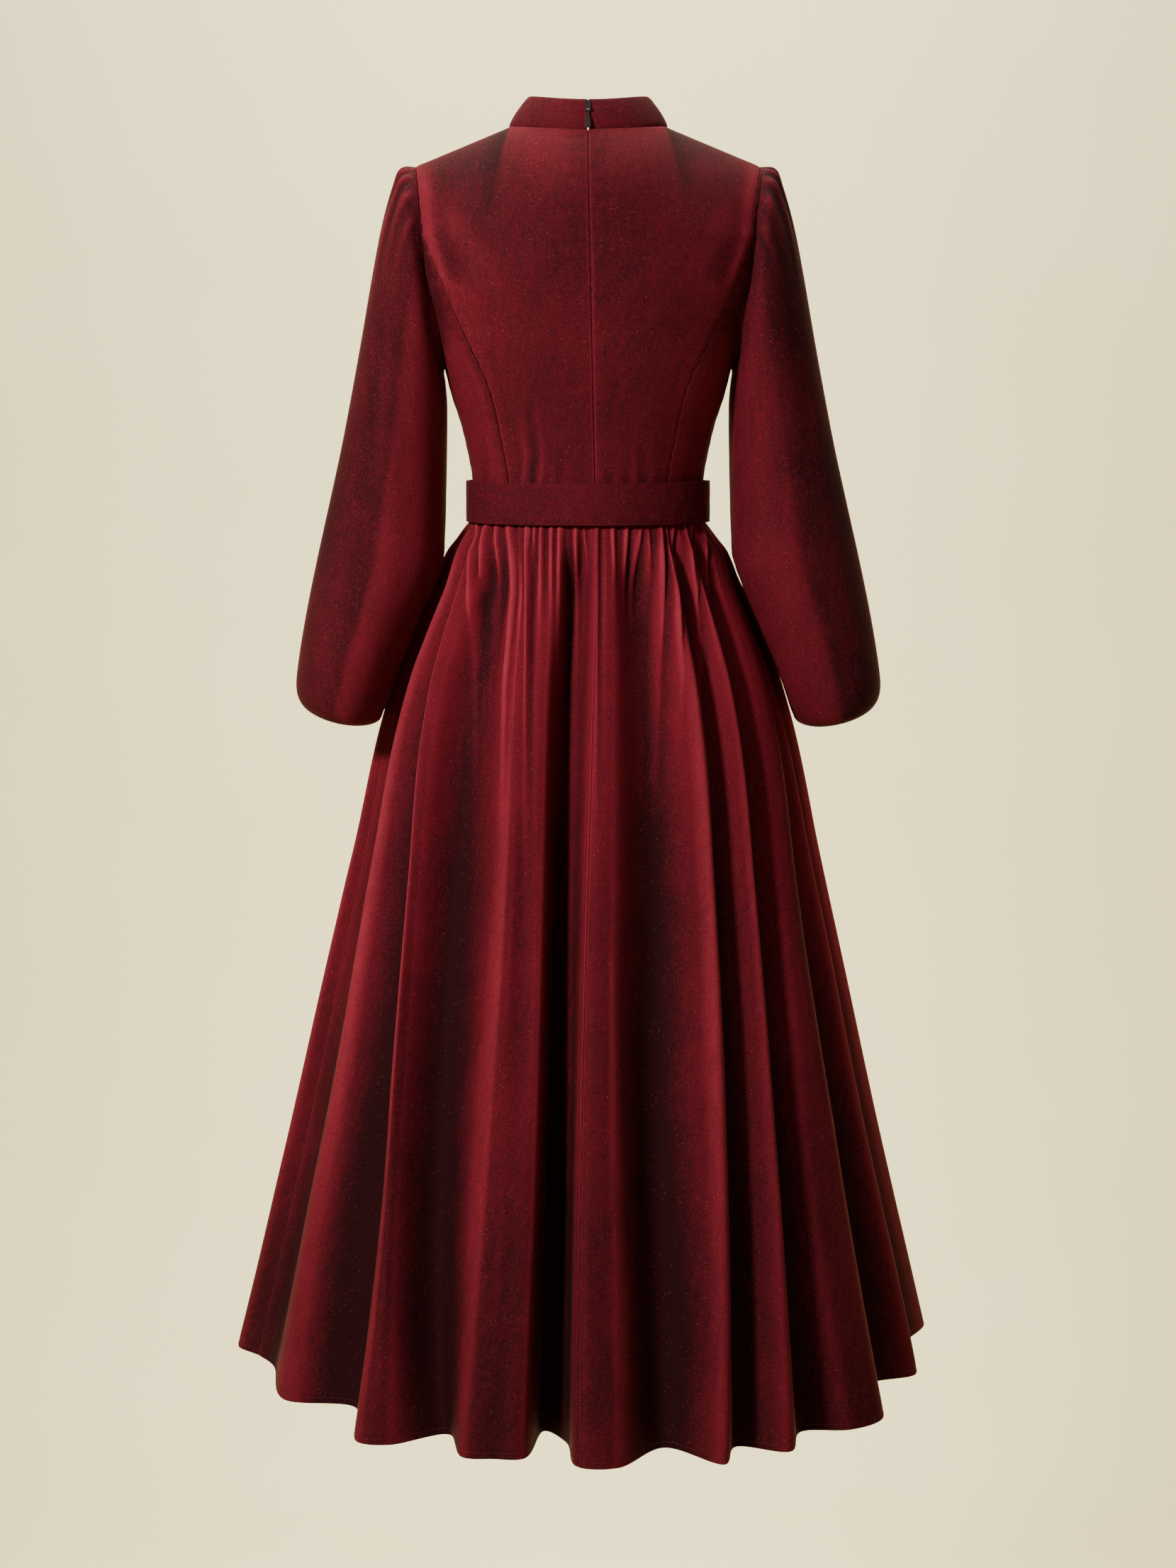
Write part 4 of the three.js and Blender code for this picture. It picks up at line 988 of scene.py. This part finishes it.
# %% Gathers under the belt
BELT_EDGE_DROP = 22
GATHERS = (  # x at the belt, x at the end, reach, height, width
    (121, 139, 130, 3, 3), (108, 127, 70, 3.6, 3), (97, 110, 52, 2.8, 2.4),
    (84, 97, 130, 4.2, 3.4), (75, 77, 46, 2.9, 2.2), (65.5, 67.5, 165, 3.8, 2.8),
    (58, 61, 44, 2.5, 2.2), (49.5, 52, 56, 2.8, 2.4), (38, 40, 46, 2.5, 2.2),
    (29.5, 36, 150, 3.2, 3.4), (22, 21.5, 36, 1.7, 2), (14, 17, 105, 2.6, 2.8),
    (5.5, 2, 34, 1.4, 2.2), (-9.5, -9, 150, 2.4, 2.4), (-27, -29, 32, 1.8, 2.4),
    (-42, -43.5, 46, 2, 2.4), (-50, -52, 34, 1.7, 2), (-56, -54.5, 50, 2.2, 2.4),
    (-62, -67, 44, 1.9, 2.2), (-76, -79, 140, 3.8, 2.8), (-83, -90, 66, 2.6, 2.4),
    (-89.5, -94, 110, 3.2, 2.4), (-102.5, -122, 110, 3.6, 2.8), (-110, -115, 44, 2.6, 2),
    (-121, -134, 54, 3, 2.6))
FRONT_GATHERS = 27
WAIST_DRAW = 1.5
CREST, DIP, DIP_AWAY = 1.35, 0.75, 2.1
gather_dice = np.random.default_rng(7)


def gather_lines(z):
    """Angle of each gather at the heights z, and its reach, height and width."""
    drop = (WAIST_Z - z - BELT_EDGE_DROP).clip(0)
    for belt_x, end_x, reach, height, width in GATHERS:
        x = belt_x + (end_x - belt_x) * (drop / reach).clip(0, 1.3)
        angle = np.degrees(np.arcsin((x / read(SKIRT, "width", z)).clip(-1, 1)))
        yield angle, reach, height, width
    for place in np.linspace(-97, -265, FRONT_GATHERS):
        dice = gather_dice.random(5)
        reach = 34 + 130 * dice[0] ** 2
        bend = (dice[3] - 0.5) * 5 * (drop / reach).clip(0, 1.3)
        yield place + (dice[4] - 0.5) * 4 + bend, reach, 1.6 + 1.8 * dice[1], 2.2 + 1.4 * dice[2]


def gather_wave(q, z):
    """How far the gathers lift the cloth at curve places q and heights z."""
    turns = np.degrees(fold_angles(z))
    turns = np.concatenate([turns, turns[:, :1] - 360], 1)
    angle = np.stack([np.interp(q, np.arange(turns.shape[1]), row) for row in turns])
    drop = (WAIST_Z - z)[:, None]
    below = (drop - BELT_EDGE_DROP).clip(0)
    s, c = sin_cos(angle)
    radius = np.hypot(read(SKIRT, "width", z)[:, None] * c, skirt_depth(z)[:, None] * s)
    lift = -WAIST_DRAW * bell(below, 60) * (0.45 + 0.55 * smooth(0, 30, drop))
    for place, reach, height, width in gather_lines(z):
        away = np.radians(angle - place[:, None]) * radius
        fade = smooth(14, 30, drop) * np.exp(-0.6 * (below / reach) ** 2)
        crest = np.exp(-np.abs(away / width) ** 1.5)
        dip = bell(away + DIP_AWAY * width, width)
        lift = lift + height * (CREST * crest - DIP * dip) * fade
    return lift


print(len(GATHERS) + FRONT_GATHERS, "gathers")

# %% [markdown]
# The cloth also has life that no fold line gives: a slow swell along each fold. The hem is
# turned up and stitched 6 mm above the edge, which presses a shallow line into it. Its colour
# carries painted light and shade: lighter under the belt and on the gathers, darker towards the
# hem and deep in the folds.

# %% Skirt panels
SKIRT_LEVELS = np.concatenate([
    np.linspace(WAIST_Z, -372, 6), np.linspace(-376, -470, 40), np.linspace(-476, -700, 36),
    np.linspace(-712, -1280, 52), np.linspace(-1286, HEM_Z, 12)])
HEM_STITCH = 6.0


def skirt_grid(first, last, per_fold):
    z = SKIRT_LEVELS
    q = np.linspace(first, last, (last - first) * per_fold + 1)
    flat = through(fold_points(z), q)
    wave = gather_wave(q, z)
    radius = np.linalg.norm(flat, axis=-1)
    fall = skirt_fall(z)[:, None]
    swell = 1.6 * np.sin(q * 2.1 + fall * 7) + 1.1 * np.sin(q * 3.7 - fall * 11 + 2)
    swell = swell * smooth(0.12, 0.5, fall) * smooth(1.0, 0.9, fall)
    above = (z - HEM_Z)[:, None]
    pressed = 0.5 * bell(above - HEM_STITCH, 1.6) + 0.5 * bell(above, 1.2)
    flat = flat * (1 - (swell.clip(0) - wave + pressed) / radius)[..., None]
    height = np.broadcast_to(z[:, None], radius.shape)
    return np.concatenate([flat, height[..., None]], -1), wave


def skirt_painted_light_and_shade(grid, wave):
    """Painted light and shade on the skirt: lighter under the belt and on the gathers, darker
    towards the hem and deep in the folds.
    """
    z = grid[..., 2]
    out = np.hypot(grid[..., 0] / read(SKIRT, "width", z), grid[..., 1] / skirt_depth(z))
    drop = WAIST_Z - z
    nap = 0.34 * smooth(420, 40, drop) - 0.31 * smooth(380, 900, drop)
    return nap + 0.11 * wave.clip(-1.2, 3) - 0.2 * smooth(0.05, 0.17, 1 - out)


SKIRT_PARTS = (  # name, first fold line, last fold line, columns for each
    ("skirt_back_left", 0, BACK_SEAM, 20), ("skirt_back_right", BACK_SEAM, RIGHT_SEAM, 21),
    ("skirt_front", RIGHT_SEAM, len(FOLDS), 14))
STITCH_LIFT = 0.12
STITCH_ROW = int(np.argmin(np.abs(SKIRT_LEVELS - HEM_Z - HEM_STITCH)))
skirt = {}
hem_lines = {}
for name, first, last, per_fold in SKIRT_PARTS:
    grid, wave = skirt_grid(first, last, per_fold)
    grid = roll_seams(grid, -1, (0.8, 0.8), pucker=0.2)
    # The ridge's painted light and shade is stronger under the belt and weaker lower down.
    scale = 3.0 + 5.0 * smooth(0, 260, WAIST_Z - SKIRT_LEVELS)[:, None]
    skirt[name] = cloth("velvet_" + name, name, grid, -1, 5, scale, skirt_painted_light_and_shade(grid, wave))
    hem_lines[name] = (grid + grid_normals(grid, -1) * STITCH_LIFT)[STITCH_ROW, 2:-2]
    run = lengths(grid, 1)[:, -1]
    print(name, "waist", round(run[0]), "hem", round(run[-1]), "mm")

# %% [markdown]
# ## Belt
# The belt is a stiffened, doubled strip, 44 mm high, that stands a little off the waist. It laps
# over itself at the front, where it is fastened out of sight. Its section is a flat loop with
# soft folded edges, carried round the waist.

# %% Belt strip
TOP, HEIGHT, THICK, HALF_WIDTH, LAP = -330, 44, 2.4, 131.5, 24
BELT_FLATTER = 0.245
BELT_RIDGE = 0.28
BELT_STEPS = 380


def belt_grid():
    """Rings of points along the strip, and how far each point stands off its middle layer."""
    around = np.linspace(0, 2 * np.pi, 37)[:-1]
    out = np.sign(np.cos(around)) * np.abs(np.cos(around)) ** 0.35
    up = np.sign(np.sin(around)) * np.abs(np.sin(around)) ** 0.55
    turn = np.linspace(180 - LAP / 2, -180 - LAP, BELT_STEPS)[:, None]
    lifted = smooth(110, 180 - LAP / 3, np.abs(turn)) * (turn < 0)
    centre = HALF_WIDTH - THICK / 2 + (THICK + SEAM_GAP) * lifted
    deep = centre - HALF_WIDTH * BELT_FLATTER + 0.6
    steps = np.arange(BELT_STEPS)[:, None]
    end = np.clip(np.minimum(steps, steps[::-1]) / 5, 0, 1)
    close = np.sqrt(end * (2 - end))
    wave = 0.35 * np.sin(np.radians(turn) * 5 + 1) + 0.25 * np.sin(np.radians(turn) * 11)
    edge_pad = 0.45 * bell(1 - np.abs(up), 0.10)
    off = out * THICK / 2 * (0.25 + 0.75 * close) + edge_pad * np.sign(out) * close
    off = off + 0.25 * np.sin(turn * 0.61) * np.sin(up * 3)
    s, c = sin_cos(turn)
    z = TOP - HEIGHT / 2 + up * HEIGHT / 2 * (0.94 + 0.06 * close) + wave * 0.5
    return np.stack([(centre + off) * s, (deep + off) * c, z], -1), off


def belt_piece():
    grid, off = belt_grid()
    index = np.arange(off.size).reshape(off.shape)
    right = np.roll(index, -1, 1)
    quads = np.stack([index[:-1], index[1:], right[1:], right[:-1]], -1).reshape(-1, 4)
    ends = [np.roll(index[0], 1).tolist(), np.roll(index[-1, ::-1], 1).tolist()]
    # The ridge value paints the belt's colour: low everywhere, raised into a painted highlight
    # along the folded edges.
    ridge = BELT_RIDGE + 0.25 * np.clip(off - 1.3, 0, 0.6)
    return velvet_piece("velvet_belt", "belt", grid, quads.tolist() + ends, {"ridge": ridge})


belt = belt_piece()
print("belt", len(belt.data.polygons), "faces")

# %% [markdown]
# ## Stitches
# The hem is held by a row of small stitches that only just shows. A Geometry Nodes tree lays
# one short stitch at every step along a line and turns it along the line. Each panel's hem
# stitches are then made a plain mesh.

# %% Stitch tree
STITCH = {"Pitch": 0.0034, "Length": 0.0022, "Radius": 0.00028}


def stitch_tree():
    tree = bpy.data.node_groups.new("stitches", "GeometryNodeTree")
    face = tree.interface
    face.new_socket("Geometry", in_out="INPUT", socket_type="NodeSocketGeometry")
    for name in STITCH:
        face.new_socket(name, in_out="INPUT", socket_type="NodeSocketFloat")
    face.new_socket("Geometry", in_out="OUTPUT", socket_type="NodeSocketGeometry")
    nodes = {}

    def add(key, kind, settings=None, **links):
        nodes[key] = tree.nodes.new(kind)
        for name, value in (settings or {}).items():
            setattr(nodes[key], name, value)
        for name, source in links.items():
            socket = next(s for s in nodes[key].inputs if s.name == name and s.enabled)
            if isinstance(source, tuple):
                tree.links.new(nodes[source[0]].outputs[source[1]], socket)
            else:
                socket.default_value = source

    add("in", "NodeGroupInput")
    add("curve", "GeometryNodeMeshToCurve", Mesh=("in", "Geometry"))
    add("steps", "GeometryNodeResampleCurve", {"mode": "LENGTH"}, Curve=("curve", "Curve"),
        Length=("in", "Pitch"))
    add("tangent", "GeometryNodeInputTangent")
    add("turn", "FunctionNodeAlignRotationToVector", {"axis": "Z"},
        Vector=("tangent", "Tangent"))
    add("stitch", "GeometryNodeMeshCylinder", Vertices=6, Radius=("in", "Radius"),
        Depth=("in", "Length"))
    add("place", "GeometryNodeInstanceOnPoints", Points=("steps", "Curve"),
        Instance=("stitch", "Mesh"), Rotation=("turn", "Rotation"))
    add("real", "GeometryNodeRealizeInstances", Geometry=("place", "Instances"))
    add("finish", "GeometryNodeSetMaterial", Geometry=("real", "Geometry"), Material=thread)
    add("out", "NodeGroupOutput", Geometry=("finish", "Geometry"))
    return tree


def stitch_row(name, line):
    guide = bpy.data.meshes.new(name + "_guide")
    guide.from_pydata((line * MM).tolist(), [(k, k + 1) for k in range(len(line) - 1)], [])
    holder = stand(name + "_guide", guide)
    modifier = holder.modifiers.new("stitches", "NODES")
    modifier.node_group = stitches
    for item in stitches.interface.items_tree:
        if item.name in STITCH:
            modifier[item.identifier] = STITCH[item.name]
    seen = holder.evaluated_get(bpy.context.evaluated_depsgraph_get())
    mesh = bpy.data.meshes.new_from_object(seen)
    bpy.data.objects.remove(holder)
    print(name, len(mesh.polygons), "faces")
    return worn(name, mesh)


stitches = stitch_tree()
hems = {name: stitch_row("hem_stitches_" + name, line) for name, line in hem_lines.items()}

# %% [markdown]
# ## Zip
# The slider and its drop-shaped tab are the CAD pieces themselves, because their shape is right
# and the tab turns on the slider's pin. They only need their metal, and the tape its weave.

# %% Zip finishes
for node, finish in (("zip_tape", tape), ("zip_slider", gunmetal), ("zip_pull", gunmetal)):
    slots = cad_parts[node].data.materials
    slots.clear()
    slots.append(finish)
print("zip dressed")

# %% [markdown]
# ## What each sheet was cut to
# A table gives the flat size that each sheet of cloth was cut to, in metres, and how it is held;
# the loop below only looks up each sheet's row. The bodice panels and the sleeves are shaped
# pieces, so their area is less than the rectangle they are cut from. The skirt panels are nearly
# rectangles, gathered at the waist.

HUNG = ("hung", [])
ON_THE_BODICE = ("hung", ["velvet_centre_front"])
GATHERED = ("gathered", ["velvet_belt"])
CUTS = {  # width, length, area, and how the piece is held
    "centre_back": (0.20, 0.43, 0.060, HUNG), "centre_front": (0.38, 0.40, 0.113, HUNG),
    "side_back": (0.10, 0.29, 0.019, HUNG), "side_front": (0.11, 0.29, 0.021, HUNG),
    "collar": (0.475, 0.034, None, ON_THE_BODICE), "sleeve": (0.46, 0.63, 0.215, ON_THE_BODICE),
    "skirt_back_left": (0.76, 0.985, 0.54, GATHERED),
    "skirt_back_right": (0.72, 0.985, 0.51, GATHERED),
    "skirt_front": (1.64, 0.985, 1.11, GATHERED),
    "belt": (0.80, 0.046, None, ("hung", ["velvet_skirt_front"]))}
sheets = bodice + [collar, belt] + sleeves + list(skirt.values())
for piece in sheets:
    width, length, area, (held, rests) = next(CUTS[key] for key in CUTS if key in piece.name)
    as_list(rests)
print(len(sheets), "sheets")

# %% Size of what is shown
seen_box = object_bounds()
plain = [[[float(value) for value in corner] for corner in box] for box in (cad_box, seen_box)]
print("visual box", [[round(float(value), 3) for value in corner] for corner in seen_box])
